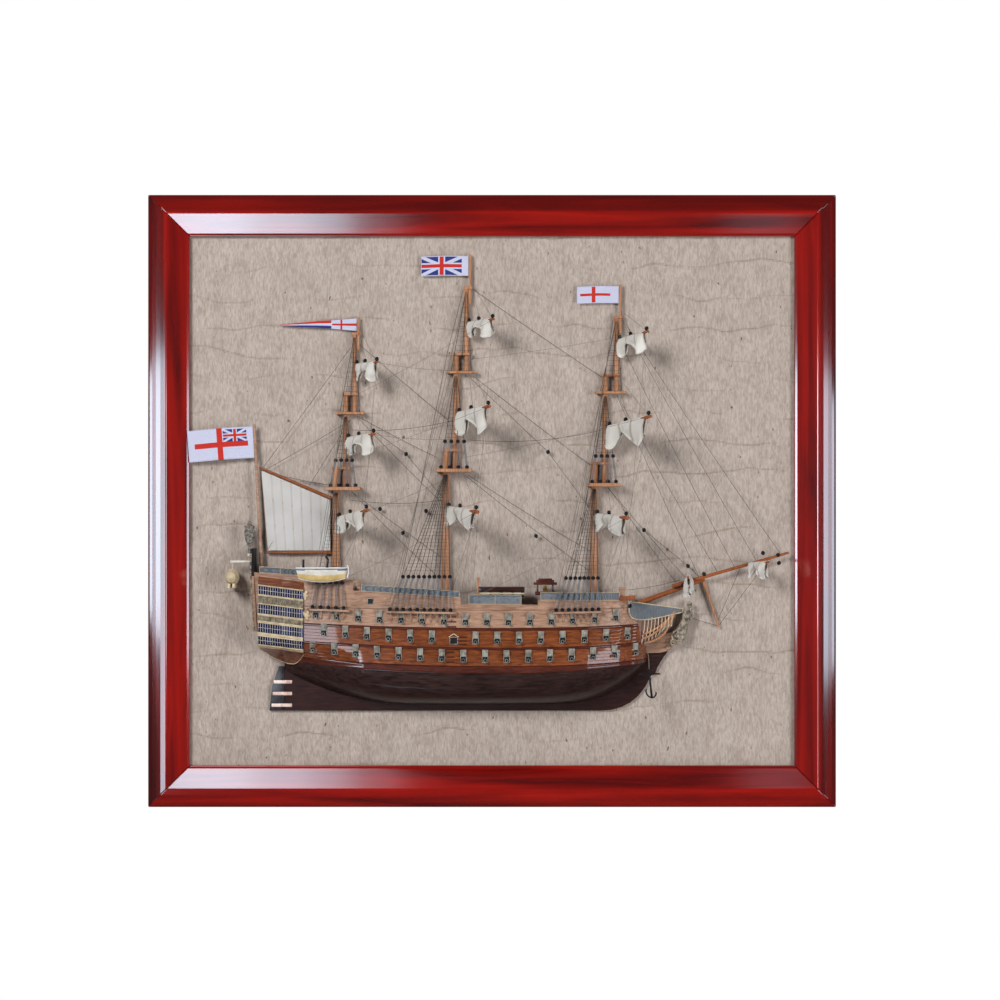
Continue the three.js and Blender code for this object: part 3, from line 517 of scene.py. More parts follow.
def clothMaterial(name, dark, light, threads, turn=(0, 0, 0), bump=0.15):
    material, tree, shader = startMaterial(name, {"Sheen Weight": 0.25, "Specular IOR Level": 0.2})
    weave = useGroup(tree, plainWeave, Vector=placedVector(tree, turn=turn), Threads=threads)
    stain = useGroup(tree, handWear, Vector=placedVector(tree), Patches=60)
    threadTone = ramp(tree, weave["Threads"], [(0.1, dark), (0.7, light)])
    stainTone = ramp(tree, stain["Patch"], [(0.3, (0.84, 0.83, 0.81)), (0.7, (1, 1, 1))])
    colour = multiplied(tree, threadTone, stainTone)
    surfaced(tree, shader, colour, scaled(tree, weave["Slub"], 0.78, 0.95), weave["Threads"], bump)
    return material


# The rope that the anchor hangs on comes first: both ends are the photo's, the depths are guessed
ropeTan = clothMaterial("ropeTan", (0.16, 0.13, 0.1), (0.42, 0.36, 0.28), 1500, turn=(0, 0.7, 0), bump=0.2)
anchorRope = {
    "radius": 0.7,
    "route": [
        (202.0, -77.1, -143.0), (204.2, -76.6, -150.1), (206.4, -76.1, -157.3), (208.7, -75.7, -164.4),
        (210.9, -75.0, -171.4), (213.0, -74.0, -178.0), (214.9, -72.7, -183.5), (216.9, -71.1, -188.8),
        (218.8, -69.4, -193.9), (220.5, -67.7, -199.0), (222.0, -66.0, -204.0), (223.1, -64.5, -208.5),
        (224.0, -63.0, -213.0), (224.8, -61.5, -217.5), (225.5, -60.2, -221.8), (226.0, -59.0, -226.0),
        (226.3, -58.2, -229.4), (226.6, -57.6, -232.8), (226.7, -57.1, -236.1), (226.8, -56.6, -239.3),
        (227.0, -56.0, -242.6),
    ],
}


def laidRope(name, route, radius, strands=3, lay=5.5, steps=9):  # strands wound round the route
    dense = []
    for start, end in zip(route, route[1:]):
        dense += [between(start, end, step / steps) for step in range(steps)]
    dense.append(route[-1])
    lines = [[] for strand in range(strands)]
    travelled = 0
    for index, place in enumerate(dense):
        if index:
            travelled += (Vector(place) - Vector(dense[index - 1])).length
        ahead = Vector(dense[min(index + 1, len(dense) - 1)]) - Vector(dense[max(index - 1, 0)])
        across = ahead.cross(Vector((0, 1, 0))).normalized()
        over = ahead.cross(across).normalized()
        for strand in range(strands):
            angle = 2 * math.pi * (strand / strands + travelled / lay)
            offset = (across * math.cos(angle) + over * math.sin(angle)) * radius * 0.48
            lines[strand].append(tuple(Vector(place) + offset))
    return ropes(name, lines, radius * 0.52)


anchorLine = finished(
    laidRope("anchor_line", anchorRope["route"], anchorRope["radius"]), ropeTan, ["anchor_rope"],
)
print("anchor rope is hung")


# Finishes
mahogany = ((0.12, 0.001, 0.0004), (0.46, 0.007, 0.0012))
railFinish = {
    "roughness": (0.5, 0.6), "coat": 1.0, "blur": 0.1, "bump": 0.0, "scale": 2.2, "patches": 5, "shine": 2.1,
    "under": 0.05,
}
# painted shade: the outer bands of the top rail and of both side rails are painted darker
mahoganyLevel = woodMaterial("mahoganyLevel", *mahogany, (1.5, 22, 22), paintedShade=("Z", 0.4175, 0.5), **railFinish)
mahoganyUpright = woodMaterial(
    "mahoganyUpright", *mahogany, (22, 22, 1.5), paintedShade=("X", 0.4725, 0.45), **railFinish,
)
(boardBrown, planking, bottomBlack, paleWood, darkWale, keelBrown, roofBrown, sparBrown, yardBrown,
 boomBrown) = [
    woodMaterial(name, dark, light, stretch, **more) for name, dark, light, stretch, more in (
        ("boardBrown", (0.2, 0.12, 0.06), (0.34, 0.22, 0.12), (6, 6, 6), {"roughness": (0.7, 0.9)}),
        ("planking", (0.115, 0.027, 0.008), (0.33, 0.095, 0.03), (6, 40, 40), {
            "coat": 0.8, "roughness": (0.3, 0.42), "shine": 1.7,
        }),
        ("bottomBlack", (0.018, 0.01, 0.009), (0.052, 0.028, 0.025), (5, 30, 30), {
            "coat": 0.2, "roughness": (0.3, 0.4), "under": 0.06, "blur": 0.16,
        }),
        ("paleWood", (0.3, 0.16, 0.1), (0.54, 0.34, 0.24), (6, 40, 40), {"coat": 0.3}),
        ("darkWale", (0.05, 0.01, 0.006), (0.13, 0.028, 0.013), (6, 40, 40), {"coat": 0.7, "shine": 1.7}),
        ("keelBrown", (0.018, 0.006, 0.005), (0.05, 0.014, 0.01), (5, 40, 40), {"coat": 0.7}),
        ("roofBrown", (0.1, 0.03, 0.015), (0.3, 0.11, 0.06), (6, 40, 40), {"coat": 0.3}),
        ("sparBrown", (0.34, 0.14, 0.065), (0.64, 0.34, 0.19), (60, 60, 5), {"coat": 0.2}),
        ("yardBrown", (0.24, 0.06, 0.018), (0.45, 0.14, 0.045), (60, 5, 60), {"coat": 0.2}),
        ("boomBrown", (0.2, 0.055, 0.02), (0.42, 0.15, 0.06), (5, 60, 60), {"coat": 0.2}),
    )
]
blackIron, gunMetal, lidGrey, copper, brass = [
    paintMaterial(name, dark, light, roughness, metallic) for name, dark, light, roughness, metallic in (
        ("blackIron", (0.006, 0.006, 0.007), (0.022, 0.022, 0.025), (0.35, 0.55), 0.3),
        ("gunMetal", (0.36, 0.36, 0.36), (0.62, 0.62, 0.6), (0.25, 0.4), 0.5),
        ("lidGrey", (0.2, 0.2, 0.17), (0.46, 0.44, 0.38), (0.3, 0.5), 0.2),
        ("copper", (0.6, 0.4, 0.33), (0.95, 0.75, 0.66), (0.3, 0.45), 0.2),
        ("brass", (0.3, 0.18, 0.04), (0.6, 0.4, 0.12), (0.25, 0.4), 0.9),
    )
]
(portBlack, creamPaint, boatWhite, boatYellow, rimBlue, rudderGrey, lanternGrey, carvedOlive, carvedGrey,
 windowBlue) = [
    paintMaterial(name, dark, light, rough, patches=patches) for name, dark, light, rough, patches in (
        ("portBlack", (0.003, 0.003, 0.004), (0.012, 0.011, 0.012), (0.4, 0.6), 120),
        ("creamPaint", (0.5, 0.4, 0.25), (0.66, 0.55, 0.37), (0.3, 0.5), 120),
        ("boatWhite", (0.62, 0.58, 0.5), (0.76, 0.72, 0.64), (0.25, 0.4), 120),
        ("boatYellow", (0.6, 0.42, 0.16), (0.74, 0.56, 0.26), (0.25, 0.4), 120),
        ("rimBlue", (0.1, 0.12, 0.17), (0.22, 0.25, 0.32), (0.3, 0.5), 120),
        ("rudderGrey", (0.014, 0.012, 0.014), (0.05, 0.045, 0.052), (0.25, 0.4), 120),
        ("lanternGrey", (0.05, 0.045, 0.04), (0.3, 0.27, 0.23), (0.35, 0.6), 330),
        ("carvedOlive", (0.07, 0.055, 0.03), (0.3, 0.24, 0.15), (0.4, 0.6), 260),
        ("carvedGrey", (0.1, 0.08, 0.06), (0.42, 0.36, 0.28), (0.35, 0.6), 200),
        ("windowBlue", (0.008, 0.009, 0.03), (0.022, 0.022, 0.09), (0.08, 0.2), 420),
    )
]
rigBlack, rigTan, lanyardBlue, netBlue = [
    clothMaterial(name, dark, light, threads, bump=bump) for name, dark, light, threads, bump in (
        ("rigBlack", (0.02, 0.018, 0.017), (0.09, 0.085, 0.08), 2600, 0.1),
        ("rigTan", (0.13, 0.11, 0.09), (0.34, 0.3, 0.25), 2600, 0.1),
        ("lanyardBlue", (0.09, 0.11, 0.14), (0.3, 0.34, 0.4), 2600, 0.1),
        ("netBlue", (0.11, 0.13, 0.16), (0.38, 0.42, 0.47), 420, 0.5),
    )
]


def splitUv(tree):
    coordinates = addNode(tree, "ShaderNodeTexCoord")
    return addNode(tree, "ShaderNodeSeparateXYZ", {"Vector": coordinates.outputs["UV"]}).outputs


def sailMaterial(name, tone, panels, threads):  # white cloth with brownish seams between its panels
    material, tree, shader = startMaterial(name, {"Sheen Weight": 0.2, "Specular IOR Level": 0.2})
    counted = addNode(tree, "ShaderNodeMath", {0: splitUv(tree)["X"], 1: panels}, operation="MULTIPLY")
    share = addNode(tree, "ShaderNodeMath", {0: counted.outputs[0]}, operation="FRACT")
    seamTone = ramp(tree, share.outputs[0], [
        (0.0, (0.46, 0.38, 0.34)), (0.1, tone), (0.9, tone), (1.0, (0.44, 0.36, 0.32)),
    ])
    weave = useGroup(tree, plainWeave, Vector=placedVector(tree, threads, source="UV"), Threads=900)
    patch = useGroup(tree, handWear, Vector=placedVector(tree), Patches=30)
    patchTone = ramp(tree, patch["Patch"], [(0.3, (0.88, 0.87, 0.86)), (0.7, (1, 1, 1))])
    colour = multiplied(tree, seamTone, patchTone)
    surfaced(tree, shader, colour, scaled(tree, weave["Slub"], 0.8, 0.95), weave["Threads"], 0.1)
    return material


sailCloth = sailMaterial("sailCloth", (0.78, 0.76, 0.71), 3.0, (0.04, 0.04, 1))
print("materials are ready")


# Picture frame: the CAD's rails with a soft roll on each edge
for side, material in (
    ("bottom", mahoganyLevel), ("top", mahoganyLevel), ("left", mahoganyUpright), ("right", mahoganyUpright),
):
    node = f"frame_{side}_rail"
    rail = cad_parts[node].copy()
    rail.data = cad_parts[node].data.copy()
    bpy.context.collection.objects.link(rail)
    for key in list(rail.keys()):
        del rail[key]
    rail.parent = None
    rail.name = f"{side}_rail"
    edited(
        rail, lambda: bpy.ops.mesh.remove_doubles(threshold=0.02 * mm),
        lambda: bpy.ops.mesh.dissolve_limited(angle_limit=math.radians(2)),
    )
    softenEdges(rail, 1.1, 4, 18)
    bpy.ops.object.shade_flat()
    finished(rail, material, [node])
for node, material in (("back_board", boardBrown), ("keel_and_stem", keelBrown)):
    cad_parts[node].data.materials.clear()
    addMaterials(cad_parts[node], material)

# Anchor: ring, stock, shank, and two arms with their flukes
anchorShape = {
    "y": -56, "ring": (227, -244.7), "crown": (231, -284), "shank": 1.2, "stock": 1.1, "reach": 15.5,
}
ringX, ringZ = anchorShape["ring"]
crownX, crownZ = anchorShape["crown"]
anchorY = anchorShape["y"]
bpy.ops.mesh.primitive_torus_add(
    major_segments=24, minor_segments=8, major_radius=1.8 * mm, minor_radius=0.5 * mm,
)
ring = bpy.context.object
ring.data.transform(shift(ringX, anchorY, ringZ) @ Matrix.Rotation(math.pi / 2, 4, "X"))
shankFoot, shank = (crownX, anchorY, crownZ), anchorShape["shank"]
anchorParts = [ring, softenEdges(addSpar((ringX, anchorY, ringZ - 1.4), shankFoot, shank, shank * 1.4), 0.3)]
anchorParts += [softenEdges(addSpar(
    (ringX + 0.6, anchorY, ringZ - 5), (ringX + 0.6 + side * anchorShape["reach"], anchorY, ringZ - 5),
    anchorShape["stock"] * 1.3, anchorShape["stock"],
), 0.3) for side in (-1, 1)]
anchorParts.append(ropes("arms", [
    [(222.2, anchorY, -272.5), (222.7, anchorY, -276.5), (224.2, anchorY, -280), (227, anchorY, -282.8),
     (231, anchorY, -284.3), (234.2, anchorY, -283.2), (236.6, anchorY, -280.5), (237.6, anchorY, -277)],
], 1.15, 3))
for x, z, tilt in ((222.9, -273.6, 0.3), (237.1, -278, -0.2)):
    fluke = addBall((0, 0, 0), (0.9, 2.4, 2.8), 10, 6)
    fluke.data.transform(shift(x, anchorY, z) @ Matrix.Rotation(tilt, 4, "Y"))
    anchorParts.append(fluke)
anchorIron = joined("anchor_iron", anchorParts)
finished(shaded(anchorIron, 40), blackIron, ["anchor"])

# Cloth on the panel: upright fibres, and long creases that lie across it
canvasValues = {"columns": 190, "rows": 390, "face": -14.3, "creaseGap": 43, "creaseWidth": 1.35, "deep": 0.9}
panelLow, panelHigh = [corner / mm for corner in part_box("canvas_panel")]


def creaseAt(x, z):  # how deep in a crease a place is, 0 to 1
    row = z / canvasValues["creaseGap"]
    deepest = 0
    for line in range(math.floor(row) - 1, math.floor(row) + 3):
        wander = 17 * noise.noise((x * 0.009, line * 3.1, 0)) + 6 * noise.noise((x * 0.028, line * 5.7, 2))
        gap = z - line * canvasValues["creaseGap"] - wander
        strength = clamp(0.45 + 1.7 * noise.noise((x * 0.012, line * 7.3, 9)))
        deepest = max(deepest, strength * math.exp(-((gap / canvasValues["creaseWidth"]) ** 2)))
    return deepest


creases = []


def canvasFront(u, v):
    x, z = mix(panelLow.x, panelHigh.x, u), mix(panelLow.z, panelHigh.z, v)
    creases.append(creaseAt(x, z))
    hollow = canvasValues["deep"] * creases[-1] + 0.25 + 0.25 * noise.noise((x * 0.02, z * 0.035, 4.0))
    edge = u in (0, 1) or v in (0, 1)
    return (x, canvasValues["face"] + (0 if edge else max(0.0, hollow)), z)


clothPanel = gridSheet("canvas_cloth", canvasValues["columns"], canvasValues["rows"], canvasFront)
# the crease depth at each point, which the cloth's material reads for painted shade in the creases
marks = clothPanel.data.attributes.new("crease", "FLOAT", "POINT")
marks.data.foreach_set("value", creases)
edited(  # the edge goes back to the panel and is closed there
    clothPanel, bpy.ops.mesh.region_to_loop, pushOut(0, panelHigh.y - canvasValues["face"], 0),
    bpy.ops.mesh.edge_face_add,
)
shaded(turnedOut(clothPanel), 60)
clothTaupe, tree, shader = startMaterial("clothTaupe", {"Sheen Weight": 0.15, "Specular IOR Level": 0.15})
fibres = useGroup(tree, woodGrain, Vector=placedVector(tree, (1, 1, 0.26)), Scale=460)
weave = useGroup(tree, plainWeave, Vector=placedVector(tree, turn=(math.pi / 2, 0, 0)), Threads=330)
stain = useGroup(tree, handWear, Vector=placedVector(tree, (1, 1, 0.6)), Patches=45, Specks=150)
crease = addNode(tree, "ShaderNodeAttribute", attribute_name="crease")
tone = ramp(tree, fibres["Figure"], [(0.3, (0.37, 0.305, 0.262)), (0.7, (0.56, 0.485, 0.435))])
# the last layer is painted shade: darker and browner along the creases
for layer in (
    ramp(tree, stain["Patch"], [(0.3, (0.87, 0.86, 0.85)), (0.7, (1, 1, 1))]),
    ramp(tree, stain["Speck"], [(0.22, (0.4, 0.3, 0.22)), (0.27, (1, 1, 1))]),
    ramp(tree, crease.outputs["Fac"], [(0.15, (1, 1, 1)), (1.0, (0.72, 0.66, 0.61))]),
):
    tone = multiplied(tree, tone, layer)
surfaced(tree, shader, tone, scaled(tree, weave["Slub"], 0.8, 0.96), fibres["Fibre"], 0.35)
finished(clothPanel, clothTaupe, ["canvas_panel"])
print("frame and cloth are done")


# Hull lines, as in the part's source
hull = {
    "back": -14.6, "midship": 10, "sternPost": -303, "stem": 226, "transomTop": -344, "beakhead": 206,
    "halfBeam": 74, "keelHalf": 5, "entrance": 150, "run": 115, "narrowing": 24, "tumblehome": 17,
    "railTop": -103, "counterTop": -188,
}
lines = {  # height amidships, rise aft, rise forward
    "waterline": (-247, 14, 13), "waleTop": (-237, 13, 8), "middleMoulding": (-212, 11, 6),
    "upperMoulding": (-184, 8, 5), "sheer": (-156.5, 6, 3),
    "upperPorts": (-174.6, 14, 9), "middlePorts": (-201, 17, 6.8), "lowerPorts": (-227, 17.8, 9.6),
}


def lineHeight(name, x):
    middle, aft, fore = lines[name]
    aftShare = clamp((hull["midship"] - x) / (hull["midship"] - hull["sternPost"]))
    foreShare = clamp((x - hull["midship"]) / (hull["stem"] - hull["midship"]))
    return middle + aft * aftShare ** 2 + fore * foreShare ** 2


def aftEnd(z):
    foot = lines["waterline"][0] + lines["waterline"][1]
    counter = smooth((z - foot) / (hull["counterTop"] - foot))
    rake = clamp((z - hull["counterTop"]) / (hull["railTop"] - hull["counterTop"]))
    return mix(mix(hull["sternPost"], hull["transomTop"] + 6, counter), hull["transomTop"], rake)


def foreEnd(z):
    low, high = lines["waleTop"][0], lines["sheer"][0]
    return mix(hull["stem"], hull["beakhead"], smooth((z - low) / (high - low)))


def levelBreadth(x):
    entrance = clamp((hull["stem"] + 1 - x) / hull["entrance"])
    sternwards = clamp((hull["sternPost"] + 2 * hull["entrance"] - x) / (2 * hull["entrance"]))
    full = hull["halfBeam"] * math.sqrt(max(0, 1 - (1 - entrance) ** 2.2))
    return max(hull["keelHalf"], full - hull["narrowing"] * sternwards ** 2)


def sideY(x, z, proud=0.0):
    lower = lineHeight("waterline", x)
    lean = clamp((z - lower) / (hull["railTop"] - lower))
    run = clamp((x - hull["sternPost"]) / hull["run"]) ** 0.6
    narrow = mix(hull["keelHalf"], levelBreadth(x), run)
    full = levelBreadth(x) - hull["tumblehome"] * lean ** 1.3 * levelBreadth(x) / hull["halfBeam"]
    return hull["back"] - mix(narrow, full, smooth((z - lower) / 34)) - proud


def wallY(x, z, proud=0.0):  # the side, upright above the highest rail
    return sideY(x, min(z, hull["railTop"]), proud)


def onSide(x, z, flat=1.0):  # a frame of axes on the hull side: X aft to fore, -Y outwards
    forward = Vector((4, flat * (sideY(x + 2, z) - sideY(x - 2, z)), 0)).normalized()
    upward = Vector((0, flat * (sideY(x, z + 2) - sideY(x, z - 2)), 4)).normalized()
    inward = upward.cross(forward).normalized()
    upward = forward.cross(inward).normalized()
    place = at(x, sideY(x, z), z)
    turn = Matrix((forward, inward, upward)).transposed().to_4x4()
    return Matrix.Translation(place) @ turn


def sideBand(name, columns, rows, heightAt, proudAt):  # a closed band of the side, from the stern to the stem
    def front(u, v):
        level = heightAt(hull["midship"], v)
        x = mix(aftEnd(level), foreEnd(level), u)
        z = heightAt(x, v)
        return (x, sideY(x, z, proudAt(x, v)), z)

    return gridSolid(name, columns, rows, front, backOf(front, lambda x, z: hull["back"]))


# Topsides: planked strakes with a shallow seam between them, and two proud mouldings
topsideValues = {
    "columns": 190, "strake": 4.6, "seam": 0.25, "gap": 0.15, "mouldingHalf": 1.75, "moulding": 1.2,
}
strakeEdges = []
bandEdges = ("waleTop", "middleMoulding", "upperMoulding", "sheer")
edgeGap = {"waleTop": topsideValues["gap"], "sheer": topsideValues["gap"]}
for low, high in zip(bandEdges, bandEdges[1:]):
    bottom = lines[low][0] + edgeGap.get(low, topsideValues["mouldingHalf"])
    top = lines[high][0] - edgeGap.get(high, topsideValues["mouldingHalf"])
    count = round((top - bottom) / topsideValues["strake"])
    for strake in range(count):
        for share, sunk in ((0, 1), (0.07, 0), (0.93, 0), (1, 1)):
            strakeEdges.append((low, high, (strake + share) / count, -topsideValues["seam"] * sunk))
    if high != "sheer":
        for share, proud in ((0.02, 0.75), (0.2, 1), (0.5, 1), (0.8, 1), (0.98, 0.75)):
            strakeEdges.append((high, None, share, proud * topsideValues["moulding"]))
strakeRows = len(strakeEdges) - 1


def strakeHeight(x, v):
    low, high, share, proud = strakeEdges[round(v * strakeRows)]
    half = topsideValues["mouldingHalf"]
    if high is None:
        return lineHeight(low, x) + mix(-half, half, share)
    bottom, top = lineHeight(low, x) + edgeGap.get(low, half), lineHeight(high, x) - edgeGap.get(high, half)
    return mix(bottom, top, share)


topsides = sideBand(
    "planked_topsides", topsideValues["columns"], strakeRows, strakeHeight,
    lambda x, v: strakeEdges[round(v * strakeRows)][3],
)
shaded(addMaterials(topsides, planking, paleWood, darkWale), 35)
for index in range(strakeRows * topsideValues["columns"]):  # pale top strakes, dark mouldings and seams; the dark strips just under the mouldings are also painted shadow lines
    low, high, share, proud = strakeEdges[index // topsideValues["columns"]]
    tone = 1 if low == "upperMoulding" else 0
    if high is None or share > 0.9 or share == 0 or (low == "middleMoulding" and share * 5 > 4.4):
        tone = 2
    topsides.data.polygons[index * 2].material_index = tone
finished(topsides, None, ["hull_topsides"])

wale = sideBand(
    "wale_strake", 150, 6,
    lambda x, v: mix(lineHeight("waterline", x) + 0.15, lineHeight("waleTop", x) - 0.15, v),
    lambda x, v: (0.5, 1.4, 1.4, 1.0, 1.4, 1.4, 0.5)[round(v * 6)],
)
finished(shaded(wale, 50), darkWale, ["lower_wale"])


rabbet = {"z": -296, "aftFrom": -120, "aftRise": 49, "foreFrom": 20, "foreRise": 59}


def rabbetHeight(x):  # where the bottom meets the keel, level amidships and rising at both ends
    aftShare = clamp((rabbet["aftFrom"] - x) / (rabbet["aftFrom"] - hull["sternPost"]))
    foreShare = clamp((x - rabbet["foreFrom"]) / (hull["stem"] - rabbet["foreFrom"]))
    return rabbet["z"] + rabbet["aftRise"] * aftShare ** 2 + rabbet["foreRise"] * foreShare ** 4.5


def bottomPoint(u, v):
    x = mix(hull["sternPost"], hull["stem"], u)
    z = mix(rabbetHeight(x), lineHeight("waterline", x) - 0.15, v)
    middle = 1 - abs(2 * (x - hull["sternPost"]) / (hull["stem"] - hull["sternPost"]) - 1) ** 2
    hollow, power = mix(1.5, 2.6, middle), mix(1.25, 0.5, math.sqrt(clamp(middle)))
    widest = hull["back"] - sideY(x, lineHeight("waterline", x))
    share = max(0.0, 1 - (1 - v) ** hollow) ** power
    return (x, hull["back"] - mix(hull["keelHalf"], widest, share), z)


underwater = gridSolid(
    "underwater_body", 150, 40, bottomPoint, backOf(bottomPoint, lambda x, z: hull["back"]),
)
finished(shaded(underwater, 50), bottomBlack, ["hull_bottom"])
print("hull is planked")


# Gun ports: a framed black opening, a lid hinged up above it, and the gun that looks out
gunDecks = {  # line, first and last port along the ship, how many, and the place of the entry port
    "upper": ("upperPorts", -254, 178, 15, None),
    "middle": ("middlePorts", -242, 195, 15, 6),
    "lower": ("lowerPorts", -257.6, 207, 16, None),
}
gunPort = {
    "size": 9, "frame": 0.8, "proud": 1.3, "lidWidth": 8.4, "lidHeight": 9.6, "lidTilt": 16, "gunOut": 7,
}
portPlaces, entryPlace = [], None
for line, first, last, count, entry in gunDecks.values():
    for index in range(count):
        portX = mix(first, last, index / (count - 1))
        if index == entry:
            entryPlace = (portX, lineHeight(line, portX))
        else:
            portPlaces.append(onSide(portX, lineHeight(line, portX), flat=0.35))


def portFrame(width, height):  # its back lies on the planking, its middle is sunk
    half = (width / 2, height / 2)
    box = addBox((-half[0], -gunPort["proud"], -half[1]), (half[0], 0.6, half[1]))
    shapeFaces(box, lambda face: face.normal.y < -0.9, inset(gunPort["frame"]), pushOut(0, 0.7, 0))
    softenEdges(box, 0.15, 1)
    addMaterials(box, lidGrey, portBlack)
    rim = gunPort["frame"] * 0.9
    for face in box.data.polygons:
        x, y, z = face.center / mm
        inside = abs(x) < half[0] - rim and abs(z) < half[1] - rim
        face.material_index = int(inside and y > -gunPort["proud"] + 0.1)
    return box


bulwarkPort = onSide(-174.7, -144.5)
portFrames = copies(
    "gun_port_frames", portFrame(gunPort["size"], gunPort["size"]), portPlaces + [bulwarkPort],
)
finished(portFrames, None)

lid = addBox((-gunPort["lidWidth"] / 2, -0.9, 0), (gunPort["lidWidth"] / 2, 0, gunPort["lidHeight"]))
shapeFaces(lid, lambda face: face.normal.y < -0.9, inset(0.9), pushOut(0, 0.35, 0))
softenEdges(lid, 0.2, 2)
straps = [addBox((x - 0.5, -1.25, -0.4), (x + 0.5, -0.75, 6.6)) for x in (-2.1, 2.1)]
lid = joined("lid", [lid] + [softenEdges(strap, 0.15, 1) for strap in straps])
lidPlaces = [
    place @ shift(0, -gunPort["proud"] * 0.5, gunPort["size"] / 2 + 0.1)
    @ Matrix.Rotation(math.radians(gunPort["lidTilt"] + random.uniform(-4, 5)), 4, "X")
    @ Matrix.Rotation(math.radians(random.uniform(-2.5, 2.5)), 4, "Y")
    for place in portPlaces
]
finished(copies("gun_port_lids", lid, lidPlaces), lidGrey)

gun = addSpar((0, 2, 0), (0, -gunPort["gunOut"], 0), 2.4, 1.9, 14)
shapeFaces(
    gun, lambda face: face.normal.y < -0.9, pushOut(0, -0.3, 0),
    lambda: bpy.ops.transform.resize(value=(1.28, 1, 1.28), center_override=(0, 0, 0)),
    pushOut(0, -1.1, 0), inset(0.5), pushOut(0, 2.5, 0),
)
softenEdges(gun, 0.15, 1)
addMaterials(gun, gunMetal, portBlack)
# the bottom of the bore is painted black, as painted shade deep in the barrel
for face in gun.data.polygons:
    x, y, z = face.center / mm
    face.material_index = int(math.hypot(x, z) < 1.3 and y > -gunPort["gunOut"] - 1.2)
gunPlaces = [
    Matrix.Translation(place.to_translation() + at(0, 0, -1.2))
    @ Matrix.Rotation(math.radians(random.uniform(-3, 3)), 4, "Z")
    for place in portPlaces
]
finished(copies("guns", gun, gunPlaces), None)

# Entry port amidships with its small gable, and the ladder steps up the side
entryPort = {
    "width": 12, "height": 10.5, "reach": 3.4, "lift": 2.4, "pitch": 34, "steps": 13.5,
    "flights": ((-58, -166.5, 6.9), (-43, -195, 5.2), (-61, -216.4, 7)),  # x, top, gap
}
entryX, entryZ = entryPlace
entry = portFrame(entryPort["width"], entryPort["height"])
entry.data.transform(onSide(entryX, entryZ))
finished(joined("entry_port", [entry]), None)
roofs = []
for lean in (-1, 1):
    roof = addBox((-4.4, -2.4, -0.6), (4.4, 0.6, 0.6))
    lift = shift(lean * entryPort["reach"], 0, entryPort["height"] / 2 + entryPort["lift"])
    roof.data.transform(lift @ Matrix.Rotation(lean * math.radians(entryPort["pitch"]), 4, "Y"))
    roof.data.transform(onSide(entryX, entryZ))
    roofs.append(softenEdges(roof, 0.3, 2))
finished(joined("entry_gable", roofs), creamPaint)

steps = []
for x, top, gap in entryPort["flights"]:
    for row in range(3):
        z = top - row * gap
        step = addBox((-entryPort["steps"] / 2, -2.2, -0.7), (entryPort["steps"] / 2, 0.6, 0.7))
        step.data.transform(onSide(x, z))
        steps.append(softenEdges(step, 0.25, 2))
finished(joined("side_steps", steps), darkWale)
print("gun decks are armed")


# Upper works: planked bulwarks with a rail cap, and hammock netting on stanchions
stretches = {  # aft, fore, rail aft, rail fore, deck drop, node, netting from and to
    "poop": (-344, -200, -103, -114, 11, "poop_bulwark", -336, -276),
    "quarterdeck": (-200, -45, -129, -139, 12, "quarterdeck_bulwark", -188, -47),
    "waist": (-45, 66, -148, -149, 5, "waist_rail", -33, 42),
    "forecastle": (66, 196, -142.5, -143.5, 8, "forecastle_bulwark", 70, 184),
}
bulwarkWall, railCap = 3.5, 0.9


def railHeight(stretch, x):
    aft, fore, aftZ, foreZ = stretches[stretch][:4]
    return mix(aftZ, foreZ, clamp((x - aft) / (fore - aft)))


def bulwark(stretch, columns=40):  # solid up to its deck, and a thin wall above that
    aft, fore, aftZ, foreZ, drop = stretches[stretch][:5]
    low, lip = -0.9, -bulwarkWall - 0.6
    profile = [  # the line it's measured from, how far above it, how far proud; None lies at the back
        ("sheer", 0.15, 0), ("rail", -drop, 0), ("rail", -3.4, 0), ("rail", -3.2, railCap * 0.6),
        ("rail", -2.4, railCap * 0.6), ("rail", -2.2, 0.0), ("rail", low, 0), ("rail", -0.8, railCap),
        ("rail", 0, railCap), ("rail", 0, lip), ("rail", low, lip), ("rail", low, -bulwarkWall),
        ("rail", -drop, -bulwarkWall), ("rail", -drop, None), ("sheer", 0.15, None),
    ]
    count = len(profile)

    def point(u, v):
        base, offset, proud = profile[round(v * (count - 1))]
        x = mix(aft, fore, u)
        z = (lineHeight("sheer", x) if base == "sheer" else railHeight(stretch, x)) + offset
        return (x, hull["back"] if proud is None else wallY(x, z, proud), z)

    wall = gridSheet(f"{stretch}_bulwark_wall", columns, count - 1, point)
    shell = bmesh.new()  # both ends and the underside are closed
    shell.from_mesh(wall.data)
    shell.verts.ensure_lookup_table()
    ends = [[shell.verts[row * (columns + 1) + column] for row in range(count)] for column in (0, columns)]
    shell.faces.new(ends[0])
    shell.faces.new(list(reversed(ends[1])))
    for column in range(columns):
        top = (count - 1) * (columns + 1) + column
        shell.faces.new([shell.verts[corner] for corner in (column + 1, column, top, top + 1)])
    bmesh.ops.recalc_face_normals(shell, faces=shell.faces)
    shell.to_mesh(wall.data)
    shell.free()
    return wall


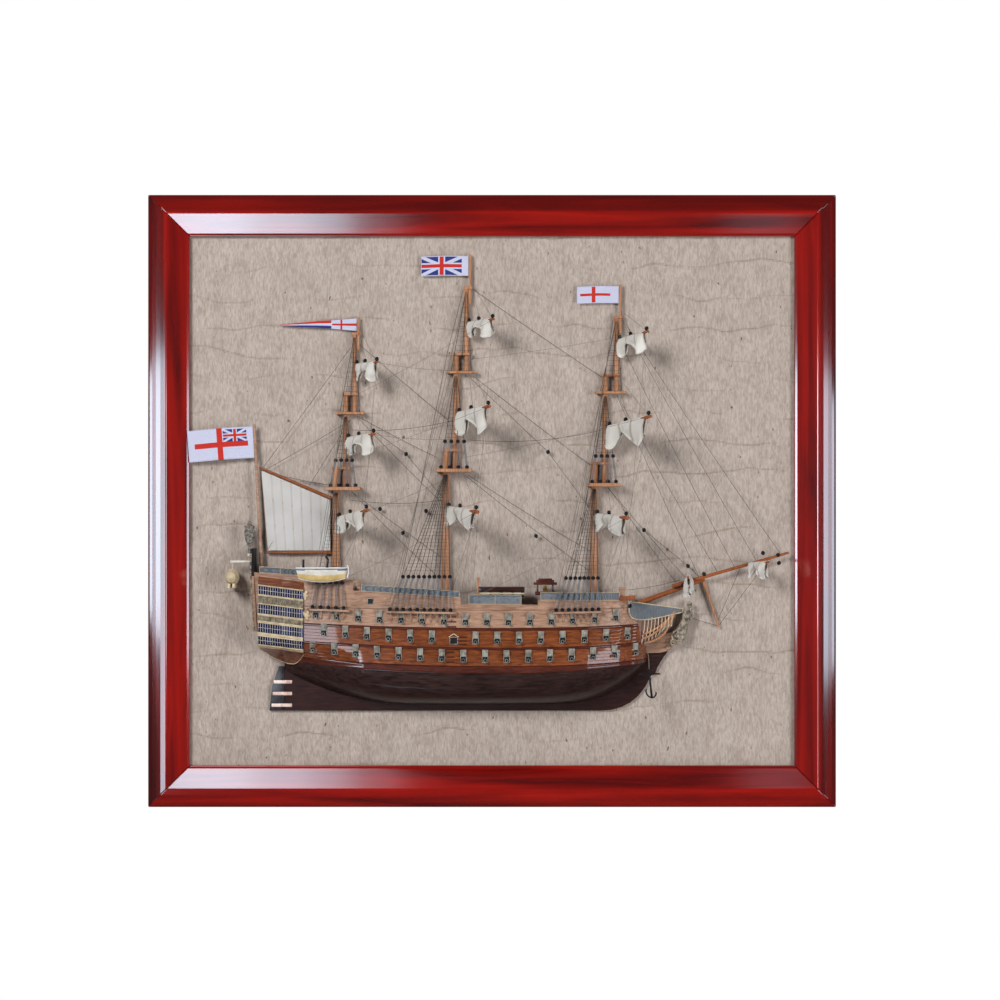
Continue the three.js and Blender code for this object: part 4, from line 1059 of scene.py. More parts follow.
netting = {
    "post": 0.36, "gap": 52, "tall": {"waist": 1.5, "forecastle": 1.25}, "bulge": 0.35, "height": 9.4,
    "around": [  # inwards and up, from the outer foot over the top to the inner foot
        (0.2, 0.3), (0.1, 2.6), (0.0, 4.8), (0.15, 7.0), (0.5, 8.4), (1.4, 8.9), (2.6, 8.5), (3.4, 8.8),
        (4.2, 8.3), (4.7, 6.6), (4.9, 4.4), (4.9, 0.3),
    ],
}
nets, netRails = [], []
for stretch, (aft, fore, aftZ, foreZ, drop, node, netFrom, netTo) in stretches.items():
    finished(shaded(bulwark(stretch), 35), paleWood, [node])
    tall = netting["tall"].get(stretch, 1)

    def netPoint(u, v, stretch=stretch, netFrom=netFrom, netTo=netTo, tall=tall):
        x, base = mix(netFrom, netTo, u), railHeight(stretch, mix(netFrom, netTo, u))
        inward, up = netting["around"][round(v * (len(netting["around"]) - 1))]
        swell = math.sin(u * (netTo - netFrom) * 0.52) * math.sin(math.pi * clamp(up / netting["height"]))
        sag = netting["bulge"] * swell
        return (x, wallY(x, base) + 0.2 + inward + 0.4 * sag, base + up * tall + sag)

    def railPoint(share, up, stretch=stretch, netFrom=netFrom, netTo=netTo):
        x = mix(netFrom, netTo, share)
        return (x, wallY(x, railHeight(stretch, x)), railHeight(stretch, x) + up)

    net = gridSheet(f"{stretch}_net", 44, len(netting["around"]) - 1, netPoint)
    nets.append(addModifier(net, "SOLIDIFY", thickness=0.4 * mm, offset=0))
    count = max(2, round((netTo - netFrom) / netting["gap"]))
    for index in range(count + 1):
        x, y, z = railPoint(index / count, 0)
        netRails.append([(x, y - 0.05, z), (x, y - 0.05, z + 9.1 * tall)])
    for height in (0.4, 9.0 * tall):
        netRails.append([railPoint(share / 20, height) for share in range(21)])
finished(joined("hammock_nets", nets), netBlue)
finished(ropes("net_stanchions", netRails, netting["post"]), creamPaint)
print("upper works are built")


# Masts: three sticks each, with hoops, a platform with its rim, caps and a half yard
mastY = -21.8
masts = {
    "mizzen": {
        "x": (-227.4, -213.5, -200.5, -195), "radius": (6, 4.2, 3.6), "foot": -111, "top": 18, "cap": 50,
        "trees": 128, "upperCap": 158, "head": 246, "pole": 268, "topWidth": 50, "treesWidth": 42,
        "yards": ((-27.5, (-176, -113, -13), 3.6), (89, (-167, -93, 96), 3), (197, (-164, -69, 200), 2.4)),
        "drops": (29, 31, 30),
    },
    "main": {
        "x": (-67.4, -52.6, -37.3, -32), "radius": (6.6, 5, 4.2), "foot": -148, "top": 44.5, "cap": 76,
        "trees": 187.5, "upperCap": 216, "head": 313, "pole": 360, "topWidth": 52, "treesWidth": 43,
        "yards": (
            (-11.5, (-19.5, -146, -15.5), 4.2), (125.5, (-2.5, -121, 134.5), 3.4),
            (258, (3, -87, 260.5), 2.6),
        ),
        "drops": (30, 40, 27),
    },
    "fore": {
        "x": (149, 165, 181.5, 187.2), "radius": (6.3, 4.8, 4), "foot": -151, "top": 23.5, "cap": 57,
        "trees": 158, "upperCap": 185.5, "head": 270, "pole": 316, "topWidth": 48, "treesWidth": 45,
        "yards": ((-22, (192, -139, -24), 4), (105, (226, -116, 120.5), 3.4), (232, (224, -83, 243.5), 2.6)),
        "drops": (29, 41, 32),
    },
}
levels = ("lower", "topmast", "topgallant")
rigging = {
    "taper": 0.85, "tipRatio": 0.62, "topReach": 30, "treesReach": 16, "hoopGap": 17, "hoopTall": 1.6,
    "yardBands": (0.3, 0.55, 0.9), "sparBands": (0.18, 0.5, 0.8), "capWall": 1.6, "capTall": 4,
    "poleRadius": 2.2,
}


def hooped(start, end, radius, tipRadius, bands, wide, proud=0.3, soft=0.5):  # a spar with bands round it
    pieces = [softenEdges(addSpar(start, end, radius, tipRadius), soft)]
    for share in bands:
        thick = mix(radius, tipRadius, share) + proud
        band = addSpar(between(start, end, share), between(start, end, share + wide), thick, thick)
        pieces.append(softenEdges(band, 0.2, 1))
    return pieces


def mastStick(x, footZ, headZ, radius, hoops=True):
    tall = headZ - footZ
    count = int(tall / rigging["hoopGap"]) if hoops else 0
    bands = [index * rigging["hoopGap"] / tall for index in range(1, count)]
    foot, head = (x, mastY, footZ), (x, mastY, headZ)
    return hooped(foot, head, radius, radius * rigging["taper"], bands, rigging["hoopTall"] / tall, 0.25, 0.4)


def platform(x, z, width, reach, thickness):  # a planked top with a raised rim, hollow below
    low = (x - width / 2, hull["back"] - reach, z - thickness / 2)
    high = (x + width / 2, hull["back"], z + thickness / 2)
    deck = addBox(low, high)
    shapeFaces(deck, lambda face: face.normal.z > 0.9, inset(1.6), pushOut(0, 0, -thickness * 0.3))
    shapeFaces(deck, lambda face: face.normal.z < -0.9, inset(3.2), pushOut(0, 0, thickness * 0.3))
    return [softenEdges(deck, thickness * 0.22, 3)]


def mastCap(fromX, toX, z, radius):
    reach = radius + rigging["capWall"]
    low, high = (fromX - reach, mastY - reach, z - rigging["capTall"]), (toX + reach, mastY + reach, z)
    return [softenEdges(addBox(low, high), 0.6)]


for name, mast in masts.items():
    lowerX, topX, gallantX, poleX = mast["x"]
    lowerR, topR, gallantR = mast["radius"]
    poleR = rigging["poleRadius"]
    sticks = (
        mastStick(lowerX, mast["foot"], mast["cap"] - 0.4, lowerR)
        + platform(topX - 2.5, mast["top"], mast["topWidth"], rigging["topReach"], 5)
        + mastCap(lowerX, topX, mast["cap"], topR),
        mastStick(topX, mast["top"] + 2.8, mast["upperCap"] - 0.4, topR)
        + platform((topX + gallantX) / 2, mast["trees"], mast["treesWidth"], rigging["treesReach"], 3.5)
        + mastCap(topX, gallantX, mast["upperCap"], gallantR),
        mastStick(gallantX, mast["trees"] + 2.1, mast["head"] - 0.4, gallantR, False)
        + mastStick(poleX, mast["head"] - 26, mast["pole"], poleR, False)
        + mastCap(gallantX, poleX, mast["head"], poleR),
    )
    for level, pieces, (rootZ, tip, radius), x in zip(levels, sticks, mast["yards"], mast["x"]):
        node = f"{name}_{level}" if level == "topmast" else f"{name}_{level}_mast"
        finished(joined(f"{name}_{level}_spars", pieces), sparBrown, [node])
        tipRadius = radius * rigging["tipRatio"]
        yard = hooped((x, mastY, rootZ), tip, radius, tipRadius, rigging["yardBands"], 0.02)
        finished(joined(f"{name}_{level}_yard", yard), yardBrown)
print("masts and yards are up")

# Bowsprit, jib boom, gaff, boom, striker and ensign staff
spars = {
    "bowsprit": [((214, -23, -149), (310, -23, -113.5), 3.8, 3.04)],
    "jib_boom": [
        ((262, -30.4, -124), (432, -30.4, -75), 2.8, 1.82),
        ((287, -30.4, -108), (281, -78, -110), 2.6, 1.6), ((287, -30.4, -116), (287, -30.4, -108), 2.2, 2.2),
        ((371, -30.4, -92.5), (399, -70, -88), 2.4, 1.5),
    ],
    "dolphin_striker": [((307.5, -21, -113.7), (331, -21, -184), 2.6, 1.7)],
    "gaff": [((-234.5, mastY, 4), (-339, mastY, 49), 2.6, 1.7)],
    "boom": [((-234.5, mastY, -75), (-329, mastY, -75), 2.6, 1.95)],
    "ensign_staff": [((-334.6, -26.8, -116), (-346.5, -26.8, 112), 2.7, 2.1)],
}
sparFinish = {
    "bowsprit": yardBrown, "jib_boom": yardBrown, "dolphin_striker": sparBrown, "ensign_staff": paleWood,
}
for name, parts in spars.items():
    pieces = [piece for part in parts for piece in hooped(*part, rigging["sparBands"], 0.012)]
    finished(joined(f"{name}_spar", pieces), sparFinish.get(name, boomBrown), [name])

# Furled sails: one sheet each, thrown over its half yard and gathered at the mast and at the tip
sailValues = {
    "columns": 64, "rows": 40, "thick": 0.35, "end": 0.88, "wide": 3.4, "folds": 2.3, "foldDepth": 3.6,
    "wrap": 0.12, "lobes": ((0.12, 0.17, 0.8), (0.82, 0.24, 1.0)),
}


def sailDrop(u):  # pointed lobes: a bunch by the mast, and the longest one at the tip
    lobes = [size * math.exp(-abs((u - place) / wide) ** 2.4) for place, wide, size in sailValues["lobes"]]
    return 0.3 + 0.7 * max(lobes)


def furledSail(name, root, tip, radius, drop, gap, seed):
    start, run = Vector(root), Vector(tip) - Vector(root)
    sideways = run.cross(Vector((0, 0, 1))).normalized()
    first = gap / run.length

    def point(u, v):
        share = mix(first, sailValues["end"], u)
        middle = start + run * share
        thick = radius * mix(1, rigging["tipRatio"], share) + 0.5
        side, hang = (1 if v > 0.5 else -1), abs(v - 0.5) * 2
        wrap = sailValues["wrap"]
        depth = drop * sailDrop(u) * (1.0 if side > 0 else 0.86)
        if hang < wrap:
            angle = hang / wrap * math.pi / 2
            out, up = math.sin(angle) * thick, math.cos(angle) * thick
        else:
            fall = (hang - wrap) / (1 - wrap)
            belly = sailValues["wide"] * sailDrop(u) * math.sin(math.pi * fall ** 0.8)
            hem = clamp((fall - 0.82) / 0.18)
            out = thick * (1 - 0.75 * fall) + belly + 2.4 * math.sin(hem * math.pi * 0.9)
            up = -depth * fall + 1.8 * hem ** 2
        depthShare = clamp((hang - wrap) * 1.4)
        swing = sailValues["foldDepth"] * math.sin(u * math.pi * 2 * sailValues["folds"] + seed + 1.5 * hang)
        crease = noise.noise((u * 7 + seed, hang * 3 * side, seed * 0.7))
        fine = noise.noise((u * 19 + seed * 2, hang * 5 + side, seed))
        pinch = 1 - 0.5 * smooth((u - 0.8) / 0.2)
        out = out * pinch + depthShare * (side * swing + 1.8 * crease + 0.7 * fine)
        up += depthShare * 1.1 * noise.noise((u * 5 + seed, hang * 4, 5.0))
        along = depthShare * (1.6 * math.cos(u * 17 + seed) + 4 * (u - 0.4) * hang)
        spot = middle + sideways * side * out + Vector((0, 0, up)) + run.normalized() * along
        return (spot.x, spot.y, spot.z)

    sail = gridSheet(name, sailValues["columns"], sailValues["rows"], point)
    return shaded(addModifier(sail, "SOLIDIFY", thickness=sailValues["thick"] * mm, offset=0))


sailPlaces = []
for name, mast in masts.items():
    yards = zip(levels, mast["yards"], mast["x"], mast["radius"], mast["drops"])
    for level, (rootZ, tip, radius), x, mastRadius, drop in yards:
        sailPlaces.append((f"{name}_{level}_sail", (x, mastY, rootZ), tip, radius, drop, mastRadius + 3))
for name, part, drop in (("bowsprit_sail", 1, 33), ("jib_boom_sail", 3, 27)):  # on the jib boom's slung yards
    sailPlaces.append((name, *spars["jib_boom"][part][:3], drop, 5.8))
for seed, (node, root, tip, radius, drop, gap) in enumerate(sailPlaces):
    sail = furledSail(node.replace("_sail", "_furled_cloth"), root, tip, radius, drop, gap, seed * 1.7)
    finished(sail, sailCloth, [node])
    yard = f"{node[:-5]}_yard" if node[0] in "mf" else "jib_boom_spar"

# Spanker: a sheet stretched between gaff and boom, with its seams
gaffFoot, gaffPeak = [(x, z) for x, y, z in spars["gaff"][0][:2]]
spankerValues = {"foot": -72.1, "luff": -236, "clew": -327, "below": 3.4, "leech": 0.13 / 1.5, "belly": 1.8}


def underGaff(x):
    slope = (gaffPeak[1] - gaffFoot[1]) / (gaffPeak[0] - gaffFoot[0])
    return gaffFoot[1] + slope * (x - gaffFoot[0]) - spankerValues["below"]


def spankerPoint(u, v):
    foot, clew = spankerValues["foot"], spankerValues["clew"]
    lean = clew - spankerValues["leech"] * (underGaff(clew) - foot)
    x = mix(spankerValues["luff"], mix(clew, lean, v), u)
    z = mix(foot, underGaff(x), v)
    belly = spankerValues["belly"] * math.sin(math.pi * u) * math.sin(math.pi * v)
    return (x, mastY - belly - 0.5 * noise.noise((x * 0.05, z * 0.05, 1)), z)


spanker = gridSheet("spanker_cloth", 40, 40, spankerPoint)
addModifier(spanker, "SOLIDIFY", thickness=0.5 * mm, offset=0)
shaded(spanker, 40)
spankerCloth = sailMaterial("spankerCloth", (0.62, 0.61, 0.6), 7.0, (0.09, 0.09, 1))
finished(spanker, spankerCloth, ["spanker"])
edges = [0.012, 0.988]
seamPlaces = [index / 7 for index in range(1, 7)] + edges
seams = [[spankerPoint(u, share / 8) for share in range(9)] for u in seamPlaces]
seams += [[spankerPoint(share / 8, v) for share in range(9)] for v in edges]
seams = [[(x, y - 0.3, z) for x, y, z in line] for line in seams]
finished(ropes("spanker_seams", seams, 0.22), sailCloth)
print("sails are furled")

# Flags: each a sheet with a gentle wave; the traditional crosses follow its own UV map
flagValues = {
    "ensign": {
        "hoist": lambda z: -348.8 - 0.0738 * (z - 112), "y": -26.8, "size": (96, 46), "top": 109, "wave": 2.4,
        "droop": 6.5,
    },
    "main_flag": {"hoist": lambda z: -34.5, "y": mastY, "size": (69, 29), "top": 357.5, "wave": 1.8},
    "fore_flag": {"hoist": lambda z: 184.7, "y": mastY, "size": (61, 25), "top": 313.5, "wave": 1.8},
    "mizzen_pennant": {"hoist": lambda z: -197.5, "y": mastY, "size": (112, 18.5), "top": 266.5, "wave": 2.2},
}
flagWhite, flagRed, flagBlue = (0.62, 0.64, 0.82), (0.6, 0.035, 0.025), (0.035, 0.045, 0.22)


def maths(tree, operation, *values):
    return addNode(tree, "ShaderNodeMath", dict(enumerate(values)), operation=operation).outputs[0]


def within(tree, value, centre, half):  # 1 inside a band of the flag, 0 outside
    return maths(tree, "COMPARE", value, centre, half)


def oblong(tree, u, v, centre, half, operation="MINIMUM"):  # where two bands meet; MAXIMUM gives their cross
    return maths(tree, operation, within(tree, u, centre[0], half[0]), within(tree, v, centre[1], half[1]))


def painted(tree, under, mask, colour):
    under = under if isinstance(under, bpy.types.NodeSocket) else (*under, 1)
    return addNode(tree, "ShaderNodeMix", {0: mask, 6: under, 7: (*colour, 1)}, data_type="RGBA").outputs[2]


def crossedCross(tree, u, v, under, box, aspect):  # blue field, white saltire, red cross edged white
    left, right, low, high = box
    tall, wide, middle = high - low, right - left, ((left + right) / 2, (low + high) / 2)
    inside = oblong(tree, u, v, middle, (wide / 2, tall / 2))
    upward = maths(tree, "SUBTRACT", v, middle[1])
    leaning = maths(tree, "MULTIPLY", maths(tree, "SUBTRACT", u, middle[0]), tall / wide)
    arms = [within(tree, maths(tree, lean, upward, leaning), 0.0, tall * 0.1) for lean in ("SUBTRACT", "ADD")]
    edging = oblong(tree, u, v, middle, (tall * 0.19 / aspect, tall * 0.17), "MAXIMUM")
    white = maths(tree, "MAXIMUM", maths(tree, "MAXIMUM", *arms), edging)
    red = oblong(tree, u, v, middle, (tall * 0.11 / aspect, tall * 0.09), "MAXIMUM")
    result = painted(tree, under, inside, flagBlue)
    result = painted(tree, result, maths(tree, "MINIMUM", inside, white), flagWhite)
    return painted(tree, result, maths(tree, "MINIMUM", inside, red), flagRed)


def flagMaterial(name, aspect, draw):
    material, tree, shader = startMaterial(name, {"Sheen Weight": 0.2, "Specular IOR Level": 0.2})
    uv = splitUv(tree)
    colour = draw(tree, uv["X"], uv["Y"], aspect)
    weave = useGroup(tree, plainWeave, Vector=placedVector(tree, (aspect, 1, 1), source="UV"), Threads=26)
    shade = ramp(tree, weave["Slub"], [(0.3, (0.84, 0.84, 0.84)), (0.7, (1, 1, 1))])
    worn = multiplied(tree, colour, shade)
    surfaced(tree, shader, worn, scaled(tree, weave["Slub"], 0.7, 0.9), weave["Threads"], 0.08)
    return material


def drawEnsign(tree, u, v, aspect):  # u runs from the staff to the fly
    cross = oblong(tree, u, v, (0.515, 0.48), (0.042, 0.082), "MAXIMUM")
    field = painted(tree, flagWhite, cross, flagRed)
    for operation, edge in (("LESS_THAN", 0.09), ("GREATER_THAN", 0.9)):
        field = painted(tree, field, maths(tree, operation, u, edge), flagWhite)
    return crossedCross(tree, u, v, field, (0.105, 0.46, 0.56, 0.95), aspect)


def drawUnion(tree, u, v, aspect):
    return crossedCross(tree, u, v, flagWhite, (0.14, 0.99, 0.04, 0.96), aspect)


def drawCross(tree, u, v, aspect):
    red = oblong(tree, u, v, (0.6, 0.5), (0.045, 0.075), "MAXIMUM")
    inside = oblong(tree, u, v, (0.56, 0.5), (0.36, 0.46))
    return painted(tree, flagWhite, maths(tree, "MINIMUM", red, inside), flagRed)


def drawPennant(tree, u, v, aspect):
    cross = oblong(tree, u, v, (0.2, 0.5), (0.012, 0.1), "MAXIMUM")
    head = maths(tree, "MINIMUM", cross, maths(tree, "LESS_THAN", u, 0.32))
    tail = maths(tree, "GREATER_THAN", u, 0.33)
    red = maths(tree, "MINIMUM", tail, maths(tree, "GREATER_THAN", v, 0.66))
    blue = maths(tree, "MINIMUM", tail, maths(tree, "LESS_THAN", v, 0.34))
    return painted(tree, painted(tree, flagWhite, maths(tree, "MAXIMUM", head, red), flagRed), blue, flagBlue)


flagArt = {
    "ensign": drawEnsign, "main_flag": drawUnion, "fore_flag": drawCross, "mizzen_pennant": drawPennant,
}
for node, values in flagValues.items():
    length, height = values["size"]

    def flagPoint(u, v, values=values, length=length, height=height, node=node):
        z = values["top"] - (1 - v) * height
        x = values["hoist"](z) - u * length
        if node == "mizzen_pennant":
            share = mix(1, 0.65, u / 0.33) if u < 0.33 else mix(0.65, 0.09, (u - 0.33) / 0.67)
            z = values["top"] - height / 2 + (v - 0.5) * height * share
        wave = values["wave"] * min(1, u * 3) * math.sin(u * 7.5 + 0.8 * v)
        return (x, values["y"] + wave * 0.6, z + 0.7 * math.sin(u * 5) * u - values.get("droop", 0) * u)

    flag = turnedOut(gridSheet(f"{node}_cloth", 60, 20, flagPoint))
    shaded(addModifier(flag, "SOLIDIFY", thickness=0.3 * mm, offset=0))
    finished(flag, flagMaterial(f"{node}Colours", length / height, flagArt[node]), [node])
print("flags are flying")


# Quarter gallery: bands of windows between mouldings and carved balustrades, a roof and a drop
galleryValues = {"aft": -337, "fore": -272, "slope": 0.125, "proud": 11, "columns": 36}
galleryBands = [  # from the roof down: height at the aft edge, proud, and the finish of the band below it
    (-109.0, 5.0, 0), (-110.5, 6.2, 0), (-119.5, 10.6, 0), (-120.0, 12.0, 1), (-121.8, 12.0, 1),
    (-122.0, 10.2, 2), (-133.3, 10.4, 2), (-133.5, 12.0, 1), (-136.0, 12.2, 1), (-136.2, 11.2, 3),
    (-146.0, 11.2, 3), (-146.2, 12.3, 1), (-147.9, 12.3, 1), (-148.1, 10.4, 2), (-160.8, 10.6, 2),
    (-161.0, 12.0, 1), (-164.0, 12.2, 1), (-164.2, 11.2, 3), (-171.0, 11.2, 3), (-171.2, 12.3, 1),
    (-174.8, 12.3, 1), (-175.0, 10.4, 2), (-187.8, 10.4, 2), (-188.0, 12.0, 1), (-193.8, 11.8, 1),
    (-194.0, 10.2, 2), (-205.3, 9.8, 2), (-205.5, 11.4, 1), (-208.0, 11.0, 1), (-211.0, 10.0, 0),
    (-214.0, 8.2, 0), (-222.0, 5.0, 0), (-237.0, 1.0, 0),
]


def galleryPoint(u, z0, proud):
    x = mix(galleryValues["aft"], galleryValues["fore"], u)
    z = z0 - galleryValues["slope"] * (x - galleryValues["aft"])
    if z0 < -211:
        span = 0.72 if u < 0.72 else 0.34
        belly = max(0.0, 1 - (abs(u - 0.72) / span) ** 2)
        z = mix(z - (z0 + 211), -213 - 24 * belly, (-211 - z0) / 26)
    swell = math.sqrt(clamp(1 - (u * 0.97) ** 4))
    return (x, wallY(x, z) - proud * swell, z)


galleryRows = len(galleryBands) - 1


def galleryFront(u, v):
    z0, proud, _ = galleryBands[galleryRows - round(v * galleryRows)]
    return galleryPoint(u, z0, proud)


gallery = gridSolid(
    "quarter_gallery_bay", galleryValues["columns"], galleryRows, galleryFront,
    backOf(galleryFront, lambda x, z: min(hull["back"] - 1, wallY(x, z) + 3)),
)
addMaterials(gallery, roofBrown, creamPaint, windowBlue, carvedOlive)
for index in range(galleryRows * galleryValues["columns"]):
    row = index // galleryValues["columns"]
    gallery.data.polygons[index * 2].material_index = galleryBands[galleryRows - row - 1][2]
finished(shaded(gallery, 35), None, ["quarter_gallery"])
bars, balusters = [], []
for top, bottom in ((-122, -133.3), (-148.1, -160.8), (-175, -187.8), (-194, -205.3)):
    for index in range(19):
        u = 0.01 + index * 0.0535
        bars.append([galleryPoint(u, mix(top, bottom, share / 3), 10.75) for share in range(4)])
    bars.append([galleryPoint(step / 24 * 0.97, mix(top, bottom, 0.5), 10.7) for step in range(25)])
for top, bottom in ((-136.2, -146), (-164.2, -171)):
    for index in range(30):
        u = 0.015 + index * 0.0325
        balusters.append([galleryPoint(u, mix(top, bottom, share / 2), 11.6) for share in range(3)])
beading = [[galleryPoint(share / 30, galleryBands[-1][0], 1.3) for share in range(31)]]
for z0 in (-120.9, -134.8, -147, -162.6, -173, -191, -206.8):
    beading.append([galleryPoint(step / 30 * 0.985, z0, 12.5) for step in range(31)])
finished(ropes("gallery_window_bars", bars, 0.24), boatWhite)
finished(ropes("gallery_balusters", balusters, 0.45), carvedGrey)
finished(ropes("gallery_beading", beading, 0.6), creamPaint)
finials, finialBalls = [], ((0, 0, 3.4), (2.6, 4.2, 2.4), (-3.2, 2.6, 2.2), (1.2, -4.4, 2.3), (4.2, -1, 1.7))
for px, py in ((303, 596), (305, 616)):  # carved fore ends of the two balustrades
    x, _, z = seen(px, py, -88)
    for dx, dz, size in finialBalls:
        finials.append(addBall((x + dx, sideY(x, z) - 1.6, z + dz), (size, 1.6, size * 1.25)))
finished(shaded(joined("gallery_scrolls", finials)), creamPaint)
print("quarter gallery is glazed")


def turned(name, profile, centre, sides=18):  # a turned form from (radius, height) pairs, closed at both ends
    x, y, z = centre
    turns = [2 * math.pi * side / sides for side in range(sides)]
    points = [(x + r * math.cos(turn), y + r * math.sin(turn), z + up) for r, up in profile for turn in turns]
    faces = []
    for ring in range(len(profile) - 1):
        for side in range(sides):
            a, b = ring * sides + side, ring * sides + (side + 1) % sides
            faces.append((a, b, b + sides, a + sides))
    faces.append(tuple(reversed(range(sides))))
    last = (len(profile) - 1) * sides
    faces.append(tuple(range(last, last + sides)))
    return meshPiece(name, points, faces)


# Stern: transom board, black taffrail end, carved edge, lantern on its bracket, and the boat davit
def sternPoint(v, edge):
    z = mix(-188, -69, v)
    side = hull["back"] - wallY(-338, z) + 2
    half = mix(side, 34, smooth((z - hull["railTop"]) / 34))
    return (aftEnd(z) - 0.3, hull["back"] - half * edge, z)


def sternFace(u, v, behind=6):
    x, y, z = sternPoint(v, 1 - u)
    return (x - behind, y, z)


sternBoard = turnedOut(gridSolid("transom_board", 10, 30, sternFace, lambda u, v: sternFace(u, v, 0)))
addMaterials(softenEdges(sternBoard, 0.6, 2, 40), paleWood, portBlack)
for face in sternBoard.data.polygons:
    face.material_index = int(face.center.z > -107 * mm)
finished(sternBoard, None)
carved = []
for index in range(34):
    x, y, z = sternPoint(0.03 + index * 0.0272, 1)
    carved.append(addBall((x - 4.6, y + 0.4, z), (1.5, 1.4, 1.9 + 0.5 * math.sin(index * 2.1)), 8, 6))
for index in range(9):
    x, y, z = sternPoint(0.9 + index * 0.011, 0.86)
    carved.append(addBall((x - 6.1, y + 0.4, z), (1.2, 2.0, 1.4), 8, 6))
finished(shaded(joined("stern_carving", carved)), carvedGrey)
lanternAt = (-352, -38, -64)
lantern = [turned("lantern", [
    (0.6, -14), (1.7, -13), (1.5, -9), (2.4, -7), (1.6, -5), (1.8, -1.5), (3.4, 0), (3.6, 1.2), (3.0, 2.0),
    (4.2, 4.5), (4.5, 5.2), (4.3, 5.8), (5.6, 12), (6.2, 18.5), (6.5, 19.4), (6.4, 20.4), (5.7, 21),
    (5.5, 25.5), (5.9, 26.6), (3.6, 29.2), (2.2, 30.6), (2.7, 31.8), (1.5, 33.4), (0.9, 36.2), (0.25, 38),
], lanternAt, 16)]
for index in range(8):
    angle = math.pi * index / 4
    ribs = [
        (lanternAt[0] + r * math.cos(angle), lanternAt[1] + r * math.sin(angle), lanternAt[2] + up)
        for r, up in ((4.4, 5.4), (6.2, 19.6), (5.6, 26.8))
    ]
    lantern += [addSpar(*ribs[:2], 0.5, 0.5, 6), addBall(ribs[2], (0.9, 0.9, 1.5), 8, 6)]
lantern = shaded(turnedOut(joined("stern_lantern", lantern)), 50)
wider = shift(*lanternAt) @ Matrix.Diagonal((1.25, 1.25, 1, 1))
lantern.data.transform(wider @ Matrix.Translation(at(*lanternAt) * -1))
finished(lantern, lanternGrey)
bracket = [softenEdges(addSpar((-352, -38, -80), (-352, -38, -76), 3.2, 2.0, 14), 0.4)]
bracket.append(softenEdges(addBox((-355, -40.5, -79), (-344.5, -35.5, -76.4)), 0.6))
bracket.append(softenEdges(addSpar((-380, -41, -88), (-345, -41, -88), 2.0, 2.0, 12), 0.4))
for x in (-378.5, -372, -366):
    bracket.append(softenEdges(addSpar((x, -41, -88), (x + 1.2, -41, -88), 2.4, 2.4, 12), 0.3))
bracket.append(softenEdges(addSpar((-377, -41, -99.5), (-377, -41, -88), 0.5, 0.5, 8), 0.1, 1))
finished(joined("boat_davit", bracket), boatWhite, ["stern_board"])

# Quarter boat: a lapped shell with a rim, thwarts and a keel, painted in three bands
quarterBoat = {"centre": (-244, -82, -96), "length": 74, "beam": 20, "depth": 20}


def boatPoint(u, v):  # v runs from rim to rim under the keel
    beam, depth = quarterBoat["beam"], quarterBoat["depth"]
    fromMiddle = abs(2 * u - 1)
    plan = 1 - 0.45 * fromMiddle ** 2 if u < 0.5 else math.sqrt(max(0.004, 1 - 0.99 * fromMiddle ** 2.4))
    angle = (v - 0.5) * math.pi
    up = 1 - math.cos(angle) ** 0.8 if abs(v - 0.5) < 0.5 else 1
    half = math.sin(angle) * math.sqrt(mix(0.5, 1, up)) * beam / 2 * plan
    lap = 0.25 * (math.floor(abs(v - 0.5) * 14) % 2)
    rise = 0.25 * depth * fromMiddle ** 2 * (1 - up)
    x = (u - 0.5) * quarterBoat["length"] * mix(0.9, 1, up)
    return (x, half * (1 - 0.02 * lap), (up - 1) * depth + rise)


shell = gridSheet("boat_shell", 44, 40, boatPoint)
addModifier(shell, "SOLIDIFY", thickness=1.0 * mm, offset=1)
addMaterials(shell, boatWhite, boatYellow, rimBlue)
for face in shell.data.polygons:
    share = face.center.z / mm / quarterBoat["depth"]
    arch = 0.12 * (2 * face.center.x / mm / quarterBoat["length"]) ** 2
    face.material_index = 1 if share < arch - 0.52 else 2 if share > -0.16 else 0
rim = [boatPoint(step / 30, 0.0) for step in range(31)]
rim += [boatPoint(1 - step / 30, 1.0) for step in range(31)]
parts = [shell, ropes("rim", [[(x, y * 1.02, z) for x, y, z in rim]], 0.75)]
for share in (0.2, 0.4, 0.6, 0.78):
    x, wide = (share - 0.5) * quarterBoat["length"], abs(boatPoint(share, 1.0)[1])
    parts.append(softenEdges(addBox((x - 1.6, -wide, -4.8), (x + 1.6, wide, -3.6)), 0.2, 1))
parts.append(ropes("keel", [[boatPoint(step / 20, 0.5) for step in range(21)]], 0.7))
parts.append(ropes("stem", [[(36.6, 0, -14), (38.4, 0, -6), (38, 0, 1.5), (36.4, 0, 4)]], 0.8))
boat = joined("quarter_boat_hull", parts)
boat.data.transform(shift(*quarterBoat["centre"]))
finished(shaded(boat, 45), None, ["quarter_boat"])
davitIron = [(-237.5, -76, -100), (-236, -76, -90), (-235, -76, -84), (-239, -78, -79.5)]
davit = [ropes("davit_iron", [davitIron], 1.3, 3)]
davit += [softenEdges(addSpar((-271, -74, -98), (-271, -74, -84), 1.8, 1.5), 0.3)]
finished(joined("quarter_davit", davit), blackIron)

